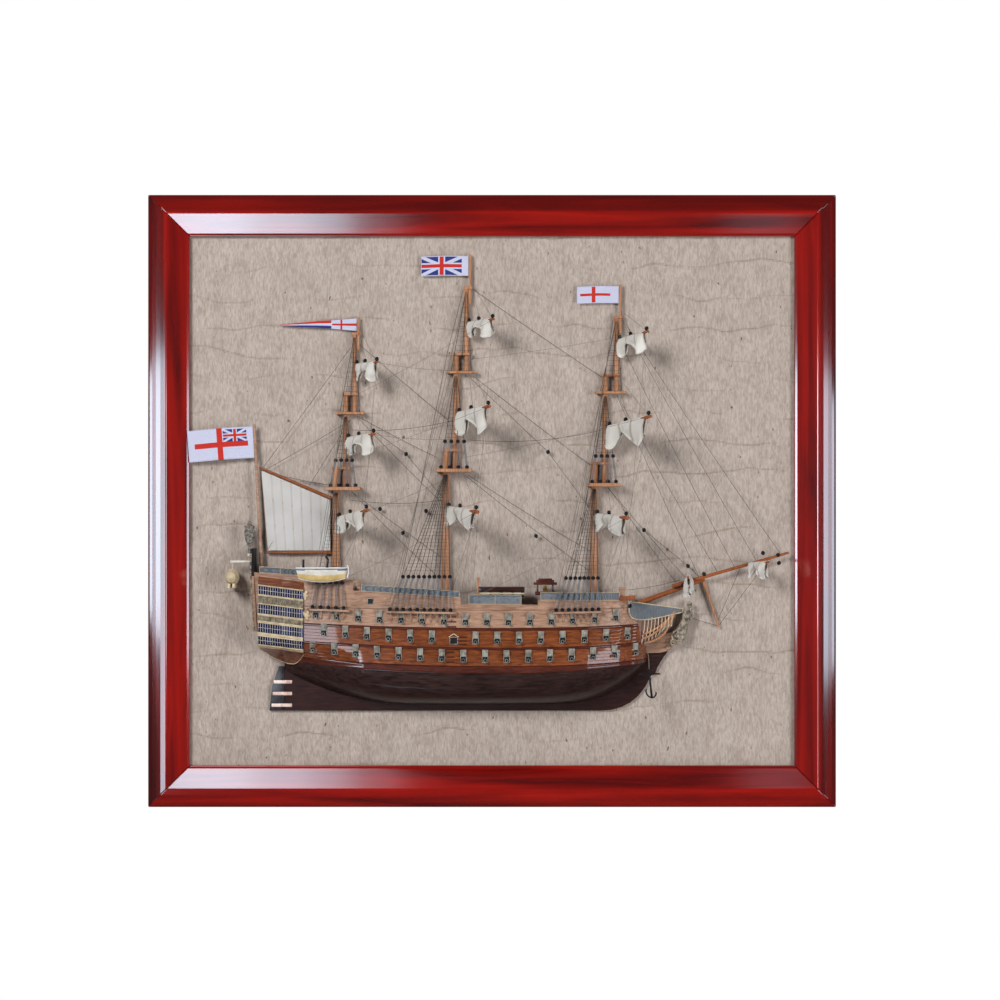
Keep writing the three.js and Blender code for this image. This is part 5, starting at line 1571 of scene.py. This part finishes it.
# Boat over the stern, seen end on: a round hull with bands and two chocks
sternBoatAt = (-377, -41, -110)
sternBoat = [addBall(sternBoatAt, (10, 23, 11.5), 24, 16)]
for along in (-19, -9, 0, 9, 19):
    share = math.sqrt(1 - (along / 23) ** 2)
    ring = [
        (sternBoatAt[0] + 10.2 * share * math.sin(turn / 8 * math.pi), sternBoatAt[1] + along,
         sternBoatAt[2] - 11.7 * share * math.cos(turn / 8 * math.pi)) for turn in range(17)
    ]
    sternBoat.append(ropes("ring", [ring], 0.45))
sternBoat += [softenEdges(addBox((x - 2, -60, -126), (x + 2, -22, -119)), 0.8) for x in (-380, -373)]
finished(shaded(joined("stern_boat_hull", sternBoat), 45), creamPaint, ["stern_boat"])
print("stern and boats are done")


# Channels with their deadeyes, and the shrouds with ratlines that run up from them
channels = {  # aft, fore, the places of the shrouds along the ship, height of the upper deadeyes
    "mizzen": (-266, -203, (-258, -246, -235, -224, -213), -118),
    "main": (-153, -50, (-146, -136, -127, -117, -107, -97, -88, -79, -69, -59), -109),
    "fore": (85, 160, (92, 101, 110, 119, 127, 135, 144, 153), -111),
}
shroudValues = {
    "below": 4, "reach": 9.4, "ratline": 5.6, "lanyard": 0.32, "rope": 0.4, "thin": 0.2, "plate": 0.7,
    "backstay": 0.3,
}
deadeyePlaces, lanyards, shrouds, ratlines, chainPlates, backstays = [], [], [], [], [], []


def deadeyeAt(place, towards):
    turn = (Vector(towards) - Vector(place)).normalized()
    across = (Vector((1, 0, 0)) - turn * turn.x).normalized()
    outward = across.cross(turn).normalized()
    axes = Matrix((across, outward * -1, turn)).transposed().to_4x4()
    return shift(*place) @ axes


def setUp(foot, head, share, spread):  # a shroud on its two deadeyes, with three lanyards between them
    upper = between(foot, head, share)
    deadeyePlaces.extend([deadeyeAt(foot, head), deadeyeAt(upper, head)])
    for offset in (-spread, 0, spread):
        lanyards.append([(x + offset, y - 0.5, z) for x, y, z in (foot, upper)])
    shrouds.append([upper, head])
    return upper, head


def ladder(ropesUp, low, high, gap):  # ratlines across a gang, from one share of its length to another
    length = (Vector(ropesUp[0][1]) - Vector(ropesUp[0][0])).length
    count = int(length * (high - low) / gap)
    for index in range(count + 1):
        share = mix(low, high, index / count)
        line = [between(foot, head, share) for foot, head in ropesUp]
        ratlines.append([(x, y - 0.25, z) for x, y, z in line])


for name, (aft, fore, feet, upperZ) in channels.items():
    mast = masts[name]
    lowerX, topX, gallantX, _ = mast["x"]

    def channelPoint(u, v, aft=aft, fore=fore):
        x = mix(aft, fore, u)
        z = lineHeight("sheer", x) - shroudValues["below"] + (v - 0.5) * 3
        return (x, sideY(x, z) - 11 * min(1.0, 8 * u + 0.55, 8 * (1 - u) + 0.55), z)

    shelf = gridSolid(
        f"{name}_channel_shelf", 40, 3, channelPoint, backOf(channelPoint, lambda x, z: sideY(x, z) + 1),
    )
    finished(softenEdges(shelf, 0.5, 2, 50), paleWood, [f"{name}_channel"])
    gang = []
    for index, x in enumerate(feet):
        z = lineHeight("sheer", x) - shroudValues["below"]
        foot = (x, sideY(x, z) - shroudValues["reach"], z + 3.9)
        headX = lowerX + mix(-2.5, 2.5, index / (len(feet) - 1))
        head = (headX, mastY - 5.5, mast["top"] - 6 - 0.8 * (index % 2))
        gang.append(setUp(foot, head, (upperZ - foot[2]) / (head[2] - foot[2]), 1.1))
        plateX, plateZ = x - 0.03 * (x - lowerX), z - 14
        plateFoot = (plateX, sideY(plateX, plateZ) - 0.5, plateZ)
        chainPlates.append([(x, foot[1] + 0.2, z + 2.2), (x, foot[1] + 1.2, z - 1.8), plateFoot])
    ladder(gang, 0.06, 0.88, shroudValues["ratline"])
    topmastGang, gallantGang = [], []
    for index in range(4):
        foot = (topX - 2.5 + mix(-0.36, 0.36, index / 3) * mast["topWidth"], -42.2, mast["top"] + 4.6)
        head = (topX + mix(-1.5, 1.5, index / 3), mastY - 4, mast["trees"] - 5)
        topmastGang.append(setUp(foot, head, 40 / (mast["trees"] - mast["top"]), 1.0))
    ladder(topmastGang, 0.06, 0.9, shroudValues["ratline"])
    for index in range(3):
        spread = mix(-0.34, 0.34, index / 2) * mast["treesWidth"]
        foot = ((topX + gallantX) / 2 + spread, -29.6, mast["trees"] + 1.5)
        head = (gallantX + mix(-1, 1, index / 2), mastY - 3.2, mast["head"] - 8)
        shrouds.append([foot, head])
        gallantGang.append((foot, head))
    ladder(gallantGang, 0.08, 0.8, shroudValues["ratline"] * 1.25)
    for x, headX, headZ in (
        (aft + 3, topX, mast["upperCap"] - 4), (aft + 9, gallantX, mast["head"] - 5),
        (aft + 16, topX, mast["trees"] + 3),
    ):
        z = lineHeight("sheer", x) - shroudValues["below"]
        backstays.append(sagging((x, sideY(x, z) - 8.5, z + 1.5), (headX, mastY, headZ), 0.6, 4))

deadeye = addSpar((0, 1.2, 0), (0, -1.2, 0), 2.6, 2.6, 12)
softenEdges(deadeye, 0.35, 2)
strap = turned("strap", [(2.6, -0.4), (3.0, -0.4), (3.0, 0.4), (2.6, 0.4)], (0, 0, 0), 12)
strap.data.transform(Matrix.Rotation(math.pi / 2, 4, "X"))
hook = addBox((-0.4, -0.4, 2.2), (0.4, 0.4, 4.0))
deadeye = joined("deadeye", [deadeye, strap, softenEdges(hook, 0.15, 1)])
finished(copies("deadeyes", deadeye, deadeyePlaces), portBlack)
finished(ropes("lanyards", lanyards, shroudValues["lanyard"]), lanyardBlue)
finished(ropes("shrouds", shrouds, shroudValues["rope"]), rigBlack)
finished(ropes("ratlines", ratlines, shroudValues["thin"]), rigBlack)
finished(ropes("chain_plates", chainPlates, shroudValues["plate"]), paleWood)
finished(ropes("backstays", backstays, shroudValues["backstay"]), rigTan)

# Stays and running lines, read off the photo; each ends on a mast, a spar, a block or the rail
stayLines = [  # pixel and depth at both ends, and the sag in mm
    (471, 288, 603, 378, -22, -22, 1), (473, 376, 590, 465, -22, -22, 1), (470, 378, 548, 452, -22, -22, 0),
    (548, 452, 590, 509, -22, -22, 0),
    (468, 475, 593, 553, -22, -22, 2), (466, 476, 592, 573, -22, -22, 2), (359, 344, 448, 420, -22, -22, 1),
    (357, 416, 438, 458, -22, -22, 1), (357, 417, 440, 501, -22, -22, 1.5), (352, 492, 436, 575, -22, -22, 2),
    (352, 492, 440, 556, -22, -22, 1), (620, 316, 782, 556, -22, -30, 3), (620, 317, 757, 562, -22, -30, 3),
    (619, 340, 735, 568, -22, -30, 3), (617, 395, 718, 573, -22, -30, 2), (617, 396, 700, 579, -22, -30, 2),
    (608, 487, 680, 588, -22, -24, 1), (608, 488, 690, 583, -22, -24, 1), (719, 625, 768, 560, -21, -30, 1),
    (719, 626, 684, 615, -21, -24, 1), (717, 622, 740, 568, -21, -30, 1), (627, 590, 680, 580, -22, -24, 2),
    (351, 347, 262, 469, -22, -22, 1), (351, 420, 263, 471, -22, -22, 1), (345, 486, 300, 481, -22, -22, 1),
    (343, 487, 282, 476, -22, -22, 1), (350, 420, 268, 549, -22, -22, 2), (463, 290, 448, 350, -22, -24, 1),
    (448, 350, 402, 576, -24, -60, 2), (613, 320, 575, 577, -22, -60, 2), (606, 395, 571, 578, -22, -60, 1),
    (455, 420, 352, 430, -24, -22, 6), (602, 430, 470, 440, -24, -22, 8), (444, 500, 350, 500, -22, -22, 5),
    (373, 430, 406, 454, -22, -22, 0), (406, 454, 441, 496, -22, -22, 0), (644, 530, 688, 566, -22, -24, 0),
    (688, 566, 699, 577, -24, -24, 0),
]
stays = [
    sagging(seen(x0, y0, depth0), seen(x1, y1, depth1), sag, 8)
    for x0, y0, x1, y1, depth0, depth1, sag in stayLines
]
finished(ropes("stays", stays, 0.32), rigBlack)

# Lifts, braces and sheets of each half yard, with their blocks
runningLines, blockPlaces = [], []
braceEnds = {  # where each yard's brace runs to: another mast or the rail
    "mizzen": ((-72, mastY, 30), (-60, mastY, 90), (-45, mastY, 190)),
    "main": ((-205, -60, -108), (-222, mastY, 60), (-208, mastY, 150)),
    "fore": ((-30, -70, -140), (-60, mastY, 60), (-46, mastY, 205)),
}
for name, mast in masts.items():
    liftZ = (mast["cap"] - 2, mast["upperCap"] - 2, mast["head"] + 8)
    for (rootZ, tip, radius), x, liftX, headZ, brace in zip(
        mast["yards"], mast["x"], mast["x"][1:], liftZ, braceEnds[name],
    ):
        root, lift = (x, mastY, rootZ), (liftX, mastY - 4, headZ)
        endX, endY, endZ = between(root, tip, 0.94)
        rail = (x + 9, mastY - 24, mast["foot"] + 18)
        runningLines += [
            [lift, (endX, endY, endZ + radius * 0.7)],
            [lift, between(root, (endX, endY, endZ), 0.55)],
            sagging((endX, endY + 1, endZ), brace, 3, 6),
            sagging((endX, endY + 2, endZ - radius), rail, 1, 4),
        ]
        blockRows = ((0.95, radius + 2.2), (0.45, radius + 2.4), (0.14, -radius - 6.5), (0.1, radius + 2.6))
        for share, up in blockRows:
            bx, by, bz = between(root, tip, share)
            blockPlaces.append((bx, by, bz + up))
for px, py, depth in (
    (536, 536, -23), (548, 452, -22.5), (406, 454, -22), (403, 533, -22), (426, 511, -22), (688, 566, -24),
    (644, 530, -23), (683, 585, -31), (380, 509, -22), (704, 574, -31), (763, 553, -30), (778, 555, -30),
    (779, 563, -30), (630, 606, -68),
):
    blockPlaces.append(seen(px, py, depth - 1.5))
block = addBall((0, 0, 0), (2.8, 2.2, 3.3), 10, 7)
band = turned("band", [(2.5, -0.5), (3.1, -0.5), (3.1, 0.5), (2.5, 0.5)], (0, 0, 0), 10)
block = shaded(joined("block", [block, band]), 50)
blockPlaces = [
    shift(*place) @ Matrix.Rotation(random.uniform(-0.6, 0.6), 4, "Y")
    for place in blockPlaces
]
finished(copies("blocks", block, blockPlaces), portBlack)
finished(ropes("running_lines", runningLines, 0.24), rigTan)
print("rigging is set up")


# Head: net panel with its rail, curved rails, knee, cathead, knighthead and the carved figure
headValues = {"aft": (207.5, -50), "fore": (272, -27), "thick": 3, "net": (198, 278), "netProud": 5}


def headY(x):
    share = (x - headValues["aft"][0]) / (headValues["fore"][0] - headValues["aft"][0])
    return mix(headValues["aft"][1], headValues["fore"][1], share)


def headFront(u, v, extra=0.0):
    x = mix(*headValues["net"], u)
    low, high = -162 - 10 * math.sin(math.pi * math.sqrt(u)), mix(-145, -157, u)
    ripple = 0.35 * math.sin(u * 34) * math.sin(v * 9)
    return (x, headY(x) - headValues["netProud"] * (1 - u) ** 2 - extra + ripple, mix(low, high, v))


headNet = gridSolid(
    "head_net", 40, 16, headFront, backOf(headFront, lambda x, z: headY(x) + headValues["thick"]),
)
finished(shaded(headNet, 40), netBlue, ["head_rails"])
edges = [[headFront(step / 24, edge, 0.5) for step in range(25)] for edge in (0.0, 1.0)]
edges += [[headFront(edge, step / 4, 0.5) for step in range(5)] for edge in (0.0, 1.0)]
finished(ropes("head_net_rails", edges, 0.8, 2), creamPaint)


def curveThrough(points, steps):  # a smooth path through a few points
    path = [points[0]] + list(points) + [points[-1]]
    made = []
    for a, b, c, d in zip(path, path[1:], path[2:], path[3:]):
        for step in range(steps):
            t = step / steps
            made.append(tuple(
                q + 0.5 * t * (r - p + t * (2 * p - 5 * q + 4 * r - s + t * (3 * q - p - 3 * r + s)))
                for p, q, r, s in zip(a, b, c, d)
            ))
    return made + [points[-1]]


railPaths = [
    [(266, -28.5, -161), (250, -35, -177), (234, -41, -187), (219, -46, -193)],
    [(266, -29, -163), (252, -36, -190), (238, -42, -201), (221, -46, -206)],
    [(262, -30, -166), (247, -37, -183), (232, -42.5, -194), (218, -47, -199.5)],
]
headRails = ropes("head_rail_bars", [curveThrough(path, 8) for path in railPaths], 1.5, 3)
finished(headRails, sparBrown)
timberFeet = (
    (222, -205), (227, -203.5), (232, -202.5), (237, -201), (242, -198), (247, -194), (252, -189),
    (257, -182.5), (262, -174),
)
timbers = [
    curveThrough([
        (x, headY(x) - 1.2, -163 - 6 * math.sin((x - 210) / 20)), (x - 1, headY(x) - 2.4, -182),
        (x - 5, headY(x) - 1, low),
    ], 6) for x, low in timberFeet
]
finished(ropes("head_timbers", timbers, 0.7, 2), creamPaint)


def headBacking(u, v):  # the boarding behind the timbers, from the netting down to the lowest rail
    x = mix(203, 268, u)
    lowest = mix(-208, -165, smooth((x - 222) / 46) * 0.9)
    return (x, min(headY(x) + 3.2, -18), mix(lowest, -163 - 7 * math.sin(clamp((x - 207) / 64) * math.pi), v))


backing = gridSolid("head_boarding", 24, 8, headBacking, backOf(headBacking, lambda x, z: hull["back"] - 0.1))
finished(turnedOut(backing), roofBrown)


def headPlate(name, outline, front):  # a flat shaped board of the head, down to the panel
    count = len(outline)
    sides = [(side + count, (side + 1) % count + count, (side + 1) % count, side) for side in range(count)]
    faces = [tuple(range(count)), tuple(reversed(range(count, 2 * count))), *sides]
    plate = meshPiece(name, [(x, y, z) for y in (front, hull["back"]) for x, z in outline], faces)
    return softenEdges(turnedOut(plate), 1.0, 3)


knee = headPlate("stem_knee", [
    (219, -190), (234.5, -196), (261, -191.5), (280, -176.5), (287, -160), (291, -163),
    (283, -184), (270, -207), (259, -218), (246, -221.5), (222, -222),
], -22.4)
finished(knee, paleWood, ["head_knee"])
forefoot = headPlate("stem_forefoot", [
    (228, -220), (257, -219), (249, -230), (242, -242), (237, -254), (228, -254),
], -20.6)
finished(forefoot, bottomBlack)

robe = turned("robe", [
    (1.0, -26), (5.2, -25), (7.4, -20), (7.6, -12), (6.4, -4), (5.0, 2), (4.6, 6), (5.8, 11), (6.6, 15.5),
    (5.2, 19.5), (2.2, 21.5), (1.7, 24),
], (0, 0, 0), 28)
for corner in robe.data.vertices:
    angle = math.atan2(corner.co.y, corner.co.x)
    fold = 1 + 0.13 * math.sin(angle * 9 + corner.co.z * 130) * clamp((8 * mm - corner.co.z) / (20 * mm))
    corner.co.x *= fold * 1.02
    corner.co.y *= fold * 0.9
figureParts = [robe]
for centre, radii, sides, rings in (  # head, hair, nose and chin
    ((0, 0, 28.4), (3.5, 3.6, 4.6), 16, 12), ((-0.9, 0.2, 30.2), (3.8, 4.1, 4.0), 16, 10),
    ((3.5, -0.2, 28.0), (0.8, 0.6, 1.1), 8, 6), ((2.8, -0.1, 25.6), (0.9, 1.2, 0.9), 8, 6),
):
    figureParts.append(addBall(centre, radii, sides, rings))
for side in (-1, 1):  # brow, ear and a bent arm
    elbow = (4.5, side * 6.4, 7)
    figureParts += [
        addBall((2.9, side * 1.4, 29.3), (0.7, 0.8, 0.35), 8, 6),
        addBall((-0.4, side * 3.5, 28), (0.8, 0.6, 1.2), 8, 6),
        addSpar((0, side * 5.4, 17.5), elbow, 1.9, 1.5, 12),
        addSpar(elbow, (7.2, side * 3.4, 10.5), 1.5, 1.1, 12),
        addBall(elbow, (1.7, 1.7, 1.7), 10, 8),
        addBall((7.6, side * 3.0, 10.8), (1.3, 1.2, 1.3), 10, 8),
    ]
for index in range(7):  # curls of hair
    curl = (-1.2 - 0.3 * index, 3.2 * math.sin(-1.2 + index * 0.4), 32.6 - abs(index - 3) * 0.8)
    figureParts.append(addBall(curl, (1.2, 1.2, 1.2), 8, 6))
figure = joined("figure", figureParts)
figure.data.transform(shift(279.5, -29, -179) @ Matrix.Rotation(0.3, 4, "Y"))


def scroll(centre, size, turns, start, lean=1):  # a carved spiral
    path = []
    for step in range(40):
        share = step / 39
        angle = start + lean * share * turns * 2 * math.pi
        radius = size * (1 - share) ** 0.8 + 0.6
        x, y, z = centre
        path.append((x + radius * math.cos(angle), y - share * 1.2, z + radius * math.sin(angle)))
    return path


scrolls = [
    scroll((269, -33, -197), 8, 1.6, 1.2), scroll((276, -35, -190), 6, 1.4, 2.6, -1),
    scroll((264, -33, -206), 5, 1.4, 0.2), scroll((284, -33, -170), 4.5, 1.3, 1.0, -1),
]
carving = [figure, ropes("scrolls", scrolls, 1.15, 2)]
for index in range(46):  # leaves that run down the knee beside the figure
    share = index / 45
    x, z = mix(291, 259, share), mix(-160, -212, share ** 0.85)
    wobble = 5 * math.sin(index * 2.4)
    leaf = addBall((0, 0, 0), (1.3, 0.9, 3.1), 8, 6)
    leaf.data.transform(
        shift(x + wobble * 0.7, -26 - 3.2 * math.sin(index * 1.3) ** 2, z + wobble * 0.6)
        @ Matrix.Rotation(index * 1.1, 4, "Y")
    )
    carving.append(leaf)
finished(shaded(joined("figurehead_carving", carving), 60), carvedGrey, ["figurehead"])

catheadValues = {"heel": (184, -56.1, -141.6), "run": (21, -24, 3), "hoops": (0.72, 0.9), "reach": 32}
run, upright = Vector(catheadValues["run"]).normalized(), Vector((0, 0, 1))
axes = Matrix((run, run.cross(upright).normalized() * -1, upright)).transposed().to_4x4()
outwards = shift(*catheadValues["heel"]) @ axes
cathead = [softenEdges(addBox((-1, -3.2, -3.2), (29, 3.2, 3.2)), 0.5)]
cathead[0].data.transform(outwards)
for share in catheadValues["hoops"]:
    along = share * catheadValues["reach"]
    hoop = addBox((along - 0.9, -3.6, -3.6), (along + 0.9, 3.6, 3.6))
    hoop.data.transform(outwards)
    cathead.append(softenEdges(hoop, 0.3))
finished(joined("cathead_beam", cathead), yardBrown, ["cathead"])
knighthead = [softenEdges(addBox((184, -50, -145), (193, -44, -126)), 0.8)]
knighthead.append(softenEdges(addBox((183, -51, -128), (194, -43, -125)), 0.6))
finished(joined("knighthead", knighthead), paleWood)
print("head is carved")


# Deck fittings that show over the rail: skids with their rail, belfry, post, and the steps by the poop
fittings = [softenEdges(addBox((-19, -62, -131.5), (47, -40, -124)), 0.8)]
fittings += [softenEdges(addBox((x, -63, -139), (x + 4, -39, -131.5)), 0.6) for x in (-18, -4, 12, 28, 42)]
finished(joined("boat_skids", fittings), keelBrown)
topRail = [[(x, sideY(x, -134) + 1.5, -132.6 - 0.008 * (x + 18)) for x in range(-18, 47, 4)]]
finished(ropes("waist_top_rail", topRail, 1.1, 2), creamPaint)
post = softenEdges(addSpar((-20, -58, -148), (-20, -58, -113), 1.9, 1.5), 0.4)
finished(joined("waist_post", [post, addBall((-20, -58, -112), (2.3, 2.3, 2.3))]), sparBrown)
belfry = [softenEdges(addBox((62, -60, -136), (92, -40, -131)), 1.2)]
for x, y in ((66, -58), (66, -42), (88, -58), (88, -42)):
    belfry.append(softenEdges(addSpar((x, y, -131), (x, y, -120), 1.2, 1.0, 12), 0.3))
roof = addBox((60, -62, -121), (94, -38, -117.5))
shapeFaces(roof, lambda face: face.normal.z > 0.9, inset(4), pushOut(0, 0, 3.4), inset(3), pushOut(0, 0, 2))
belfry.append(softenEdges(roof, 0.6))
finished(joined("belfry", belfry), darkWale)
bell = turned("bell", [
    (0.6, 4), (2.2, 3.4), (2.8, 0.5), (3.8, -3.2), (4.2, -4), (3.6, -4), (2.4, -1), (0.4, 2),
], (77, -50, -126), 16)
shaded(turnedOut(bell), 50)
finished(bell, brass)
ladderSteps = []
for index in range(4):
    x, z = -199 + index * 2.6, -118 - index * 4.2
    ladderSteps.append(softenEdges(addBox((x, -66, z), (x + 7, -52, z + 4)), 0.4))
finished(joined("poop_ladder", ladderSteps), paleWood)

# Rudder: a plain blade with three copper straps
rudderEdge = ((-303.5, -241), (-311, -241), (-321, -270), (-325, -306), (-303.5, -306))
rudder = meshPiece("rudder_blade", [(x, y, z) for y in (-19.6, hull["back"]) for x, z in rudderEdge], [
    (0, 1, 2, 3, 4), (9, 8, 7, 6, 5), (0, 5, 6, 1), (1, 6, 7, 2), (2, 7, 8, 3), (3, 8, 9, 4), (4, 9, 5, 0),
])
softenEdges(turnedOut(rudder), 0.7, 2)
finished(rudder, rudderGrey, ["rudder"])
strapPieces = []
for z in (-264, -281, -298):
    aft = -322 + (z + 300) * 0.09
    strapPieces.append(softenEdges(addBox((aft, -20.9, z - 2.5), (-292, -18.6, z + 2.5)), 0.5))
finished(joined("rudder_straps", strapPieces), copper)
print("fittings are on")


# Floor of the studio
bpy.ops.mesh.primitive_plane_add(size=1)
floor = bpy.context.object
floor.name = "studio_floor"
floorValues = stageValues["floor"]
floorPlace = shift(0, floorValues["y"], floorValues["z"])
floor.data.transform(floorPlace @ Matrix.Diagonal((*floorValues["size"], 1, 1)))
paleFloor = paintMaterial("paleFloor", (0.78, 0.78, 0.77), (0.84, 0.84, 0.83), (0.7, 0.85), patches=3)
addMaterials(floor, paleFloor)
floor.visible_glossy = False
